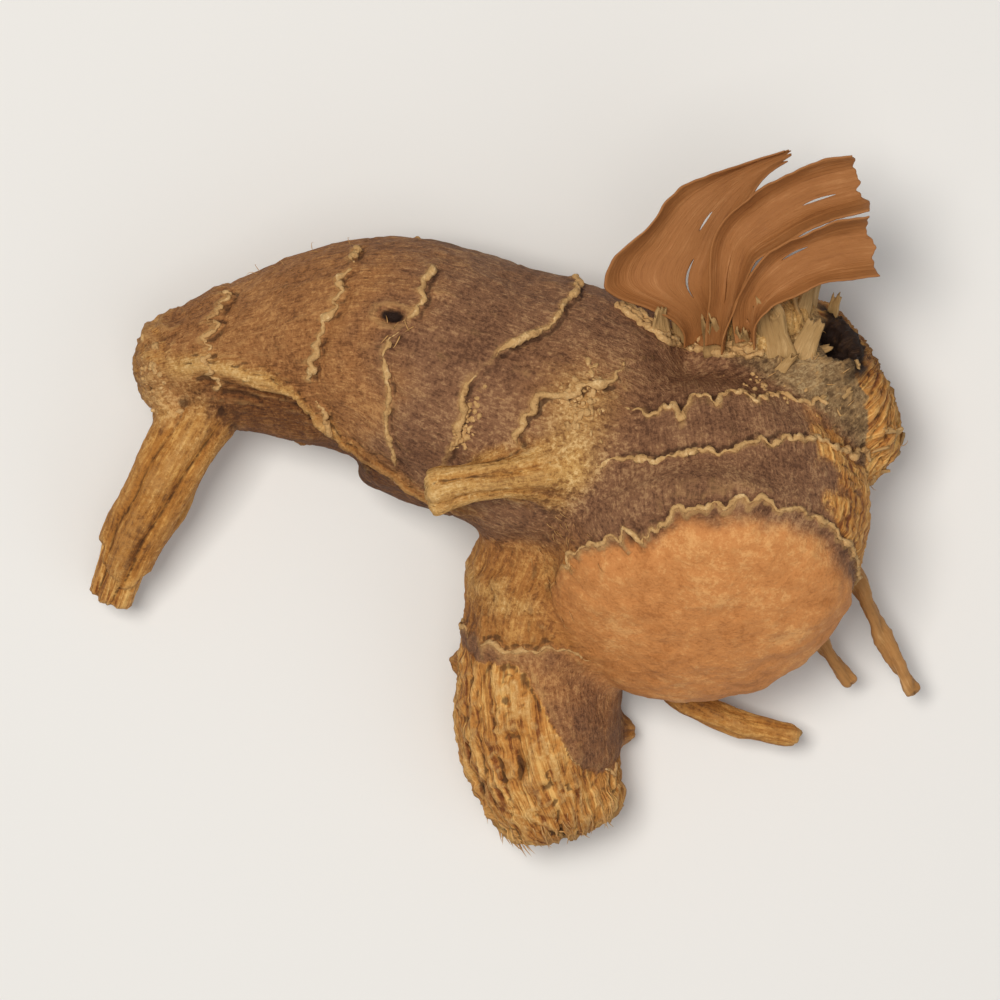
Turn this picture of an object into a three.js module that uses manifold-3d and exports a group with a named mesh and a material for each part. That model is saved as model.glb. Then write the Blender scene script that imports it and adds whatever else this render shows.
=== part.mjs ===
// A dried galangal rhizome with its root stubs and the torn leaf sheaths at its old stem base.
// Millimetres, +Z up, lying on the plane z = 0 with the origin under the middle of its outline.
//
// The rhizome grew as one piece: an arm that runs in from a thin tip, a thick knob that turns
// forward and up and ends in a bare dome, a shoulder with the pit of a lost stem, a short branch
// with a frayed end, an old stem base, and roots. Each of these is a limb, a turned profile bent
// along its own curve, and the limbs are joined into one solid. The three sheaths are leaves, so
// each is a piece of its own, seated round the stem base.

import * as THREE from "three";
import { mergeVertices } from "three/addons/utils/BufferGeometryUtils.js";
import Module from "manifold-3d";

// ---- Driving dimensions ----

// How far each limb reaches from where it starts, measured over the ground.
const ARM_REACH = 41;
const KNOB_REACH = 19;
const SHOULDER_REACH = 13;
const BRANCH_REACH = 22.5;
const STEM_REACH = 6.4;
const STRAP_ROOT_REACH = 19;
const STUB_ROOT_REACH = 11;
const LOWER_ROOTLET_REACH = 12.5;
const WIRE_ROOT_REACH = 16;
const INNER_WIRE_ROOT_REACH = 9.5;

// Greatest radius of each limb.
const ARM_RADIUS = 10.6;
const KNOB_RADIUS = 12;
const SHOULDER_RADIUS = 8.6;
const BRANCH_RADIUS = 6.6;
const STEM_RADIUS = 3.9;
const STRAP_ROOT_RADIUS = 2.7;
const STUB_ROOT_RADIUS = 2.1;
const ROOTLET_RADIUS = 1.1;
const WIRE_ROOT_RADIUS = 0.75;
const ROOT_SCAR_RADIUS = 1.5;

// The lip that an old leaf left round the limb at each node.
const LIP_HEIGHT = 0.45;
const LIP_WIDTH = 0.9;

// The pit left by a lost stem in the end of the shoulder.
const PIT_RADIUS = 2.8;
const PIT_DEPTH = 3.6;

// The undersides are worn flat where they bear on the ground.
const WORN_DEPTH = 0.45;

// Leaf sheaths.
const SHEATH_THICKNESS = 0.5;
const SHEATH_GAP = 0.3;
const SHEATH_LAP = 3.6;
const LEFT_SHEATH_LENGTH = 11;
const UPPER_SHEATH_LENGTH = 12;
const LOWER_SHEATH_LENGTH = 10;

// Fineness of the faceted limbs.
const STEP_LENGTH = 1.9;
const CAP_STEPS = 5;
const FRAME_STEPS = 160;

// Where the arm, the knob, the shoulder and the branch meet.
const HEART = new THREE.Vector2(13.5, 4.5);

const wasm = await Module();
wasm.setup();

// ---- Limbs ----

// A value between rows of evenly spaced numbers, on a smooth curve.
function blend(values, share) {
  const row = new THREE.SplineCurve(values.map((v, i) => new THREE.Vector2(i, v)));
  return row.getPoint(THREE.MathUtils.clamp(share, 0, 1)).y;
}

// A limb: its centre curve, and its radius at any share of that curve.
// stops are [x, y, lift] from the start, as shares of the reach for x and y; lift is how high the
// underside lies above the ground there, in millimetres. girth is the radius at each stop, as a
// share of the limb's own radius. hollow is a side where the limb's end falls away: its angle round
// the section, and how much of the radius it takes.
function limb({ start, reach, radius, stops, girth, nodes = [], caps = [0.6, 0.6], sides = 24, hollow = null }) {
  const points = stops.map(([x, y, lift], i) => {
    const z = lift + radius * girth[i];
    return new THREE.Vector3(start.x + x * reach, start.y + y * reach, z);
  });
  const curve = new THREE.CatmullRomCurve3(points, false, "centripetal");
  return { curve, radius, girth, nodes, caps, sides, hollow, lumps: 0.03 };
}

// A root: a limb whose stops are given in space, from a point in the flesh of the limb that bears it.
function root({ start, reach, radius, stops, girth, sides = 12, caps = [0.6, 0.5] }) {
  const points = stops.map(([x, y, z]) => new THREE.Vector3(x, y, z).multiplyScalar(reach).add(start));
  const curve = new THREE.CatmullRomCurve3(points, false, "centripetal");
  return { curve, radius, girth, nodes: [], caps, sides, hollow: null, lumps: 0.04 };
}

// The radius of a limb at a share of its length, with no lips and no rounded ends.
const girthAt = (body, share) => body.radius * blend(body.girth, share);

// A point in the flesh of a limb: out from its centre in a direction, to a depth under its skin.
function inFlesh(body, share, direction, depth) {
  const out = direction.clone().normalize().multiplyScalar(girthAt(body, share) - depth);
  return body.curve.getPointAt(share).add(out);
}

// The turned profile of a limb as [radius, height] points that start and end on the axis.
function profileOf(body, grow) {
  const length = body.curve.getLength();
  const caps = body.caps.map((c, end) => c * girthAt(body, end));
  const heights = [];
  for (let i = 0; i <= CAP_STEPS; i++) {
    const rise = 1 - Math.cos((Math.PI / 2) * (i / CAP_STEPS));
    heights.push(caps[0] * rise, length - caps[1] * rise);
  }
  const between = Math.max(2, Math.round((length - caps[0] - caps[1]) / STEP_LENGTH));
  for (let i = 1; i < between; i++) heights.push(caps[0] + ((length - caps[0] - caps[1]) * i) / between);
  for (const node of body.nodes) {
    heights.push(node * length - LIP_WIDTH / 2, node * length, node * length + LIP_WIDTH / 2);
  }
  heights.sort((a, b) => a - b);
  const clear = heights.filter((h, i) => i === 0 || h - heights[i - 1] > LIP_WIDTH / 4);
  clear[clear.length - 1] = length;
  const points = clear.map((h) => {
    const cap = Math.min(h / caps[0], (length - h) / caps[1], 1);
    const rounding = Math.sqrt(Math.max(0, 1 - (1 - cap) ** 2));
    const lip = body.nodes.some((node) => Math.abs(node * length - h) < LIP_WIDTH / 4) ? LIP_HEIGHT : 0;
    const out = (girthAt(body, h / length) + lip) * rounding + (rounding > 0 ? grow : 0);
    return new THREE.Vector2(out, h + grow * ((2 * h) / length - 1));
  });
  points[0].x = 0;
  points[points.length - 1].x = 0;
  return points;
}

// The slow waviness of a limb's cross-section and its hollow side, as a factor on its radius.
function waviness(body, share, angle) {
  const slow = Math.sin(2 * angle + 5 * share) + 0.8 * Math.sin(3 * angle - 9 * share + 1);
  if (!body.hollow) return 1 + body.lumps * slow;
  const facing = Math.max(0, Math.cos(angle - body.hollow.angle)) ** 2;
  return 1 + body.lumps * slow - body.hollow.depth * facing * THREE.MathUtils.smoothstep(share, 0.4, 0.9);
}

// A limb as a closed geometry: its lathed profile, bent along its curve.
function bentLathe(body, grow = 0) {
  const length = body.curve.getLength();
  const geometry = new THREE.LatheGeometry(profileOf(body, grow), body.sides);
  const frames = body.curve.computeFrenetFrames(FRAME_STEPS, false);
  const spots = geometry.attributes.position;
  const spot = new THREE.Vector3();
  for (let i = 0; i < spots.count; i++) {
    spot.fromBufferAttribute(spots, i);
    const share = THREE.MathUtils.clamp(spot.y / length, 0, 1);
    const frame = Math.round(share * FRAME_STEPS);
    const wave = waviness(body, share, Math.atan2(spot.z, spot.x));
    const moved = body.curve.getPointAt(share);
    moved.addScaledVector(frames.tangents[frame], spot.y - share * length);
    moved.addScaledVector(frames.normals[frame], -spot.x * wave);
    moved.addScaledVector(frames.binormals[frame], spot.z * wave);
    spots.setXYZ(i, moved.x, moved.y, moved.z);
  }
  return geometry;
}

// ---- Solids ----

// A closed geometry as a manifold-3d solid, whichever way its faces run.
function solidOf(geometry) {
  const bare = geometry.clone();
  bare.deleteAttribute("normal");
  bare.deleteAttribute("uv");
  const merged = mergeVertices(bare, 1e-4);
  const vertProperties = new Float32Array(merged.attributes.position.array);
  const corners = merged.index.array;
  const build = (order) => {
    const triVerts = [];
    for (let i = 0; i < corners.length; i += 3) {
      const [a, b, c] = order.map((k) => corners[i + k]);
      if (a !== b && b !== c && c !== a) triVerts.push(a, b, c);
    }
    return new wasm.Manifold(new wasm.Mesh({ numProp: 3, vertProperties, triVerts: new Uint32Array(triVerts) }));
  };
  const solid = build([0, 1, 2]);
  return solid.volume() > 0 ? solid : build([0, 2, 1]);
}

// The largest body of a solid, without the crumbs that a cut can leave.
function largest(solid) {
  return solid.decompose().reduce((best, body) => (body.volume() > best.volume() ? body : best));
}

function geometryOf(solid) {
  const mesh = solid.getMesh();
  const spots = new Float32Array(mesh.numVert * 3);
  for (let i = 0; i < mesh.numVert; i++) {
    spots.set(mesh.vertProperties.subarray(i * mesh.numProp, i * mesh.numProp + 3), i * 3);
  }
  const geometry = new THREE.BufferGeometry();
  geometry.setAttribute("position", new THREE.BufferAttribute(spots, 3));
  geometry.setIndex(new THREE.BufferAttribute(new Uint32Array(mesh.triVerts), 1));
  geometry.computeVertexNormals();
  return geometry;
}

function meshOf(name, solid, color, roughness) {
  const mesh = new THREE.Mesh(
    geometryOf(solid),
    new THREE.MeshStandardMaterial({ color, roughness, metalness: 0 }),
  );
  mesh.name = name;
  return mesh;
}

// ---- The body ----

const arm = limb({
  start: HEART,
  reach: ARM_REACH,
  radius: ARM_RADIUS,
  stops: [
    [0, 0, -WORN_DEPTH],
    [-0.19, 0.07, -WORN_DEPTH],
    [-0.38, 0.138, -WORN_DEPTH],
    [-0.56, 0.205, 0],
    [-0.73, 0.2, 1.3],
    [-0.88, 0.178, 2.8],
    [-1, 0.155, 4],
  ],
  girth: [0.97, 0.99, 0.97, 0.93, 0.7, 0.5, 0.32],
  nodes: [0.38, 0.53, 0.68, 0.86],
  sides: 28,
});

const knob = limb({
  start: new THREE.Vector2(HEART.x + 1.6, HEART.y + 5),
  reach: KNOB_REACH,
  radius: KNOB_RADIUS,
  stops: [
    [-0.04, 0.04, 0.4],
    [0, -0.21, -WORN_DEPTH],
    [0.02, -0.447, -WORN_DEPTH],
    [0.03, -0.68, 1.5],
    [0.005, -0.965, 7.2],
  ],
  girth: [0.74, 0.93, 1, 1, 0.94],
  nodes: [0.28, 0.47, 0.73],
  caps: [0.7, 0.42],
  sides: 30,
  hollow: { angle: 0.75, depth: 0.18 },
});

const shoulder = limb({
  start: HEART,
  reach: SHOULDER_REACH,
  radius: SHOULDER_RADIUS,
  stops: [
    [0, 0, 1.2],
    [0.45, 0.2, -WORN_DEPTH],
    [0.82, 0.42, 1],
    [1.14, 0.62, 2.6],
  ],
  girth: [0.9, 1, 0.92, 0.76],
  nodes: [0.78],
  caps: [0.6, 0.4],
});

const branch = limb({
  start: new THREE.Vector2(HEART.x - 6.2, HEART.y - 3.4),
  reach: BRANCH_REACH,
  radius: BRANCH_RADIUS,
  stops: [
    [0, 0, 1.5],
    [-0.14, -0.25, 0.3],
    [-0.19, -0.52, -WORN_DEPTH],
    [-0.17, -0.79, -WORN_DEPTH],
    [-0.06, -1.12, 0.3],
  ],
  girth: [1, 1, 0.97, 1, 0.8],
  nodes: [0.42, 0.58],
  caps: [0.6, 0.35],
  sides: 22,
});

const stemBase = root({
  start: inFlesh(shoulder, 0.42, new THREE.Vector3(-0.1, 0.8, 0.45), 3),
  reach: STEM_REACH,
  radius: STEM_RADIUS,
  stops: [
    [0, 0, 0],
    [0.06, 0.35, 0.24],
    [0.1, 0.82, 0.52],
  ],
  girth: [1.08, 1, 0.94],
  caps: [0.5, 0.25],
  sides: 18,
});

// ---- The roots ----

const FORWARD = new THREE.Vector3(0, -1, 0);

const strapRoot = root({
  start: inFlesh(arm, 0.88, FORWARD, 2.6),
  reach: STRAP_ROOT_REACH,
  radius: STRAP_ROOT_RADIUS,
  stops: [
    [0.06, 0.05, 0.02],
    [-0.09, -0.19, 0.03],
    [-0.22, -0.43, -0.03],
    [-0.33, -0.64, -0.13],
    [-0.42, -0.86, -0.27],
  ],
  girth: [1.15, 1.02, 0.94, 0.86, 0.76],
  sides: 14,
  caps: [0.6, 0.4],
});

const stubRoot = root({
  start: inFlesh(arm, 0.22, new THREE.Vector3(-0.1, -0.48, 0.88), 3.2),
  reach: STUB_ROOT_REACH,
  radius: STUB_ROOT_RADIUS,
  stops: [
    [0.06, 0, -0.06],
    [-0.08, -0.06, 0.17],
    [-0.42, -0.08, 0.28],
    [-0.86, -0.2, 0.27],
  ],
  girth: [2, 1.45, 0.98, 0.95],
  sides: 14,
  caps: [0.5, 0.45],
});

const lowerRootlet = root({
  start: inFlesh(knob, 0.62, new THREE.Vector3(-0.35, -0.62, -0.7), 2),
  reach: LOWER_ROOTLET_REACH,
  radius: ROOTLET_RADIUS,
  stops: [
    [0, 0, 0],
    [0.1, -0.33, -0.08],
    [0.42, -0.53, -0.13],
    [0.9, -0.65, -0.2],
  ],
  girth: [1.5, 1.25, 1.1, 0.9],
});

const wireRoot = root({
  start: inFlesh(knob, 0.6, new THREE.Vector3(0.93, 0, -0.35), 1.4),
  reach: WIRE_ROOT_REACH,
  radius: WIRE_ROOT_RADIUS,
  stops: [
    [0, 0, 0],
    [0.13, -0.2, -0.1],
    [0.25, -0.44, -0.19],
    [0.41, -0.71, -0.31],
  ],
  girth: [1.5, 1.05, 1, 0.85],
  sides: 10,
});

const innerWireRoot = root({
  start: inFlesh(knob, 0.66, new THREE.Vector3(0.68, -0.3, -0.66), 1.4),
  reach: INNER_WIRE_ROOT_REACH,
  radius: WIRE_ROOT_RADIUS,
  stops: [
    [0, 0, 0],
    [0.2, -0.32, -0.12],
    [0.46, -0.66, -0.28],
  ],
  girth: [1.4, 1, 0.8],
  sides: 10,
});

// Short stubs of the roots that broke off the flank and the underside.
const SCAR_SPOTS = [
  [arm, 0.72, new THREE.Vector3(0.1, -0.86, -0.5)],
  [arm, 0.5, new THREE.Vector3(0, 0.85, -0.52)],
  [arm, 0.34, new THREE.Vector3(0, -0.8, -0.6)],
  [knob, 0.4, new THREE.Vector3(0.86, 0.1, -0.5)],
  [branch, 0.5, new THREE.Vector3(-0.86, 0, -0.5)],
  [branch, 0.7, new THREE.Vector3(0.86, 0, -0.5)],
  [shoulder, 0.62, new THREE.Vector3(0.1, 0.8, -0.6)],
];
const scarStubs = SCAR_SPOTS.map(([body, share, direction]) =>
  root({
    start: inFlesh(body, share, direction, ROOT_SCAR_RADIUS),
    reach: 2 * ROOT_SCAR_RADIUS,
    radius: ROOT_SCAR_RADIUS,
    stops: [[0, 0, 0], direction.clone().multiplyScalar(0.5).toArray(), direction.toArray()],
    girth: [1, 0.9, 0.7],
    sides: 10,
    caps: [0.5, 0.5],
  }),
);

const limbs = [
  arm, knob, shoulder, branch, stemBase, strapRoot, stubRoot, lowerRootlet, wireRoot, innerWireRoot, ...scarStubs,
];

// All the limbs as one solid, each fatter than it is by an allowance.
function joined(allowance = 0) {
  return limbs.map((body) => solidOf(bentLathe(body, allowance))).reduce((sum, body) => sum.add(body));
}

// The pit in the top of the shoulder's end.
function pit() {
  const along = new THREE.Vector3(-0.15, 0.4, 0.9).normalize();
  const end = inFlesh(shoulder, 0.86, along, 0);
  const ball = new THREE.SphereGeometry(1, 16, 12);
  ball.scale(PIT_RADIUS, PIT_RADIUS, PIT_DEPTH);
  ball.applyQuaternion(new THREE.Quaternion().setFromUnitVectors(new THREE.Vector3(0, 0, 1), along));
  ball.translate(end.x, end.y, end.z);
  return solidOf(ball);
}

// Everything under the ground.
function ground() {
  const side = 4 * (ARM_REACH + KNOB_REACH);
  const depth = 4 * KNOB_RADIUS;
  const box = new THREE.BoxGeometry(side, side, depth);
  box.translate(0, 0, -depth / 2);
  return solidOf(box);
}

const rhizome = largest(joined().subtract(pit()).subtract(ground()));

// ---- The leaf sheaths ----

// A sheath: a thin blade along its own rib, cupped across, and clear of the rhizome.
// from is the side of the stem base that it lies on, and it lies along that side for the lap.
// stops follow the rib from there, as shares of its length. edges are how far the blade reaches to
// the left and the right of the rib, in millimetres, and across is the way from left to right.
function sheath({ share, from, length, stops, edges, across, cup }) {
  const up = stemBase.curve.getTangentAt(share);
  const outwards = from.clone().addScaledVector(up, -from.dot(up));
  const foot = inFlesh(stemBase, share, outwards, -(SHEATH_GAP + SHEATH_THICKNESS / 2));
  const free = foot.clone().addScaledVector(up, SHEATH_LAP);
  const rib = new THREE.CatmullRomCurve3([
    foot,
    ...stops.map(([x, y, z]) => new THREE.Vector3(x, y, z).multiplyScalar(length).add(free)),
  ]);
  const [lefts, rights] = [0, 1].map((hand) => edges.map((pair) => pair[hand]));
  const blade = new THREE.BoxGeometry(1, 1, 1, 8, 12, 1);
  const spots = blade.attributes.position;
  for (let i = 0; i < spots.count; i++) {
    const along = spots.getY(i) + 0.5;
    const acrossShare = spots.getX(i) + 0.5;
    const aside = THREE.MathUtils.lerp(-blend(lefts, along), blend(rights, along), acrossShare);
    const tangent = rib.getTangentAt(along);
    const side = across.clone().addScaledVector(tangent, -across.dot(tangent)).normalize();
    const face = new THREE.Vector3().crossVectors(side, tangent);
    const bow = cup * (2 * acrossShare - 1) ** 2;
    const moved = rib.getPointAt(along).addScaledVector(side, aside);
    moved.addScaledVector(face, bow + spots.getZ(i) * SHEATH_THICKNESS);
    spots.setXYZ(i, moved.x, moved.y, moved.z);
  }
  return solidOf(blade);
}

const sheathShapes = {
  sheath_left: sheath({
    share: 0.22,
    from: new THREE.Vector3(-1, 0, 0.3),
    length: LEFT_SHEATH_LENGTH,
    stops: [[0, 0, 0], [0.03, 0.26, 0.1], [0.12, 0.56, 0.2], [0.33, 0.9, 0.27], [0.58, 1.04, 0.3]],
    edges: [[1.2, 0.9], [2.6, 1], [8, 1], [6.6, 0.9], [5, 0.8], [2.9, 0.7], [1, 0.6], [0.4, 0.4]],
    across: new THREE.Vector3(1, 0.1, 0),
    cup: 0.6,
  }),
  sheath_upper: sheath({
    share: 0.45,
    from: new THREE.Vector3(-0.6, 0, 0.75),
    length: UPPER_SHEATH_LENGTH,
    stops: [[0, 0, 0], [0.08, 0.36, 0.12], [0.25, 0.51, 0.17], [0.49, 0.65, 0.2], [0.86, 0.76, 0.22]],
    edges: [[0.7, 0.7], [0.9, 0.9], [1.5, 1.5], [1.6, 1.6], [1.5, 1.5]],
    across: new THREE.Vector3(0.5, -0.85, -0.1),
    cup: 0.5,
  }),
  sheath_lower: sheath({
    share: 0.62,
    from: new THREE.Vector3(-0.15, 0, 0.95),
    length: LOWER_SHEATH_LENGTH,
    stops: [[0, 0, 0], [0.24, 0.24, 0.1], [0.57, 0.38, 0.15], [0.89, 0.43, 0.15]],
    edges: [[0.7, 0.7], [0.9, 0.9], [1.5, 1.5], [1.6, 1.6], [1.9, 1.9]],
    across: new THREE.Vector3(0.4, -0.9, -0.15),
    cup: 0.5,
  }),
};

// ---- The assembly ----

const part = new THREE.Group();
part.add(meshOf("rhizome", rhizome, 0x84593c, 0.85));
const keepClear = joined(SHEATH_GAP);
for (const [name, blade] of Object.entries(sheathShapes)) {
  part.add(meshOf(name, largest(blade.subtract(keepClear)), 0xa8703f, 0.7));
}

// The origin goes under the middle of the whole.
const bounds = new THREE.Box3().setFromObject(part);
const middle = bounds.getCenter(new THREE.Vector3());
part.position.set(-middle.x, -middle.y, -bounds.min.z);

export default part;
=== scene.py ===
"""A dried galangal root and the torn leaf sheaths at its old stem base, lying on a pale floor.

Shapes are worked in millimetres, from the point that the root's own measurements start at, and go
into metres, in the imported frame, when each piece is finished.
"""

from __future__ import annotations

import logging
import math
from dataclasses import dataclass, field
from enum import Enum
from typing import ClassVar, Sequence, Union

import bmesh
import bpy
import numpy as np
from mathutils import Matrix, Vector
from mathutils.bvhtree import BVHTree
from mathutils.kdtree import KDTree


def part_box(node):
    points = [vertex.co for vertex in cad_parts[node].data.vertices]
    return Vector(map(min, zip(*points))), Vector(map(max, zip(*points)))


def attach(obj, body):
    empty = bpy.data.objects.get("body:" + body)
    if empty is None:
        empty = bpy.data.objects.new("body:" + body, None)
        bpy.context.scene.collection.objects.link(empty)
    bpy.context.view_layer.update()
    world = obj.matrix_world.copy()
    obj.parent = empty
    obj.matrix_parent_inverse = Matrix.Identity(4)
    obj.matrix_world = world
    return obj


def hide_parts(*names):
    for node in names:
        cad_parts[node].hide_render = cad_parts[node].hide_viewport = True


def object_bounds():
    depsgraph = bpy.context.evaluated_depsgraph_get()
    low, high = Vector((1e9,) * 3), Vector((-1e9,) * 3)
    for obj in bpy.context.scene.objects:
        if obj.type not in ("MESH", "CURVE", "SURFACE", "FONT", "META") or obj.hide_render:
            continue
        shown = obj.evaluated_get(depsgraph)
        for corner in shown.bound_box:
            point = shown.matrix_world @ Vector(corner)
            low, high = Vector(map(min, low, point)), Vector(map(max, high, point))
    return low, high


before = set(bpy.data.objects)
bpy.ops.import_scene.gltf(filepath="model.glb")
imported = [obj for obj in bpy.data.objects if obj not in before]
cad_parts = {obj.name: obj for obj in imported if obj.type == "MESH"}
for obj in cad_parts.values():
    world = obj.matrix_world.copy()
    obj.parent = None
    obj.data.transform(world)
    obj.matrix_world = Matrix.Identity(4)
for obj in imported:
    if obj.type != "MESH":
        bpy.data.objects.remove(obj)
CAD_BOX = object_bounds()

LOG = logging.getLogger("galangal")
BODY = "root"
MM = 0.001
TAU = 2 * math.pi

# The lowest corner of the root's box, in millimetres from where its own measurements start.
LOW_CORNER = Vector((-32.2604, -24.9422, 0.0))

# Where the arm, the knob, the shoulder and the branch meet, over the ground.
HEART = np.array((13.5, 4.5))
WORN_DEPTH = 0.45

# Higher than any of the root, to look down from.
OVERHEAD = 60.0

SHEATH_GAP = 0.3
SHEATH_LAP = 3.6
SHEATH_CORE = 0.25

Points = np.ndarray
Numbers = np.ndarray


# ---- Sums on many points at once ----


def smoothstep(low: float, high: float, value: Numbers) -> Numbers:
    """How far each value has come from low to high, eased at both ends."""
    share = np.clip((value - low) / (high - low), 0.0, 1.0)
    return share * share * (3 - 2 * share)


def bump(value: Numbers, width: float) -> Numbers:
    """A soft hump of height 1 round zero."""
    return np.exp(-((value / width) ** 2))


def noise(points: Points, seed: int = 0) -> Numbers:
    """Smooth noise from about -1 to 1, one cell to each unit.

    Args:
        points: The places, as rows of three numbers.
        seed: Which noise of the many.

    Returns:
        One number for each place.
    """
    cell = np.floor(points).astype(np.int64)
    inside = points - cell
    ease = inside**3 * (inside * (inside * 6 - 15) + 10)
    total = np.zeros(len(points))
    for corner in range(8):
        offset = np.array([corner & 1, corner >> 1 & 1, corner >> 2 & 1])
        at = (cell + offset).astype(np.uint32)
        mixed = at[:, 0] * np.uint32(73856093) ^ at[:, 1] * np.uint32(19349663)
        mixed = mixed ^ at[:, 2] * np.uint32(83492791)
        mixed = mixed ^ np.uint32(seed * 2654435761 % 2**32)
        mixed = (mixed ^ mixed >> np.uint32(13)) * np.uint32(1274126177)
        mixed = mixed ^ mixed >> np.uint32(16)
        parts = [mixed >> np.uint32(shift) & np.uint32(1023) for shift in (0, 10, 20)]
        slopes = np.stack(parts, 1) / 511.5 - 1
        weight = np.prod(np.where(offset == 1, ease, 1 - ease), axis=1)
        total += weight * np.sum(slopes * (inside - offset), axis=1)
    return np.clip(total * 1.5, -1, 1)


def layered(points: Points, octaves: int, seed: int = 0) -> Numbers:
    """Noise with finer and fainter noise laid over it.

    Args:
        points: The places.
        octaves: How many noises.
        seed: Which of the many.

    Returns:
        One number for each.
    """
    total = np.zeros(len(points))
    for octave in range(octaves):
        total += noise(points * 2.03**octave + 7.1 * octave, seed + octave) * 0.5**octave
    return total


def creased(points: Points, octaves: int, seed: int = 0) -> Numbers:
    """Layered noise with sharp crests, from 0 in the hollows to 1 on the crests.

    Args:
        points: The places.
        octaves: How many noises.
        seed: Which of the many.

    Returns:
        One number for each.
    """
    total = np.zeros(len(points))
    for octave in range(octaves):
        total += (1 - np.abs(noise(points * 2.03**octave + 3.7 * octave, seed + octave))) * 0.5**octave
    return np.clip(total / (2 - 0.5 ** (octaves - 1)), 0, 1) ** 2


def blend(values: Sequence[float], share: Numbers) -> Numbers:
    """A value between rows of evenly spaced numbers, on a smooth curve.

    Args:
        values: The numbers.
        share: How far along them, from 0 to 1.

    Returns:
        The value at each share.
    """
    row = np.asarray(values, float)
    place = np.clip(share, 0, 1) * (len(row) - 1)
    low = np.clip(np.floor(place).astype(int), 0, len(row) - 2)
    part = place - low
    before, start = row[np.maximum(low - 1, 0)], row[low]
    end, after = row[low + 1], row[np.minimum(low + 2, len(row) - 1)]
    rise, fall = (end - before) / 2, (after - start) / 2
    cubic = (2 * start - 2 * end + rise + fall) * part**3
    square = (3 * end - 3 * start - 2 * rise - fall) * part**2
    return cubic + square + rise * part + start


def unit(vectors: Points) -> Points:
    """The same directions at length 1."""
    return vectors / np.maximum(np.linalg.norm(vectors, axis=-1, keepdims=True), 1e-12)


# ---- Routes and limbs ----


class Route:
    """A smooth curve through a few stops, measured by share of its length."""

    SAMPLES = 401

    def __init__(self, stops: Sequence[Sequence[float]]) -> None:
        """Runs the curve through the stops and finds a steady frame along it.

        Args:
            stops: The points that it goes through.
        """
        dense = self._through(np.asarray(stops, float))
        walked = np.concatenate([[0.0], np.cumsum(np.linalg.norm(np.diff(dense, axis=0), axis=1))])
        self.length = float(walked[-1])
        self.shares = np.linspace(0, 1, self.SAMPLES)
        gone = self.shares * self.length
        self.points = np.stack([np.interp(gone, walked, dense[:, k]) for k in range(3)], 1)
        self.heading = unit(np.gradient(self.points, axis=0))
        self.side = self._carried_side()
        self.lift = np.cross(self.heading, self.side)

    @staticmethod
    def _through(stops: Points) -> Points:
        """Points close together on the curve through the stops.

        Args:
            stops: The stops.

        Returns:
            The points.
        """
        padded = np.vstack([2 * stops[0] - stops[1], stops, 2 * stops[-1] - stops[-2]])
        gaps = np.sqrt(np.linalg.norm(np.diff(padded, axis=0), axis=1))
        part = np.linspace(0, 1, 200)[:, None]
        pieces = []
        for k in range(len(stops) - 1):
            p0, p1, p2, p3 = padded[k : k + 4]
            d0, d1, d2 = gaps[k : k + 3]
            leave = ((p1 - p0) / d0 - (p2 - p0) / (d0 + d1) + (p2 - p1) / d1) * d1
            arrive = ((p2 - p1) / d1 - (p3 - p1) / (d1 + d2) + (p3 - p2) / d2) * d1
            cubic = (2 * p1 - 2 * p2 + leave + arrive) * part**3
            square = (3 * p2 - 3 * p1 - 2 * leave - arrive) * part**2
            pieces.append(cubic + square + leave * part + p1)
        return np.vstack(pieces)

    def _carried_side(self) -> Points:
        """A direction across the curve, carried along it without twist."""
        first = self.heading[0]
        seed = np.eye(3)[int(np.argmin(np.abs(first)))]
        sides = [np.cross(first, unit(np.cross(first, seed)))]
        for before, after in zip(self.heading[:-1], self.heading[1:]):
            axis, side = np.cross(before, after), sides[-1]
            if np.linalg.norm(axis) > 1e-12:
                axis = unit(axis)
                turn = math.acos(float(np.clip(before @ after, -1, 1)))
                side = side * math.cos(turn) + np.cross(axis, side) * math.sin(turn)
            sides.append(unit(side - after * (side @ after)))
        return np.array(sides)

    def take(self, rows: Points, share: Numbers) -> Points:
        """The rows' values at each share, read between samples."""
        return np.stack([np.interp(share, self.shares, rows[:, k]) for k in range(3)], -1)

    def at(self, share: Numbers) -> Points:
        """The curve's point at each share, carried straight on past its ends."""
        over = np.where(share < 0, share, np.where(share > 1, share - 1, 0.0)) * self.length
        return self.take(self.points, share) + self.take(self.heading, share) * over[..., None]


@dataclass
class Place:
    """Where many points lie on a limb."""

    foot: Points
    share: Numbers
    angle: Numbers
    height: Numbers
    along: Numbers
    round_xy: Points


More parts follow.
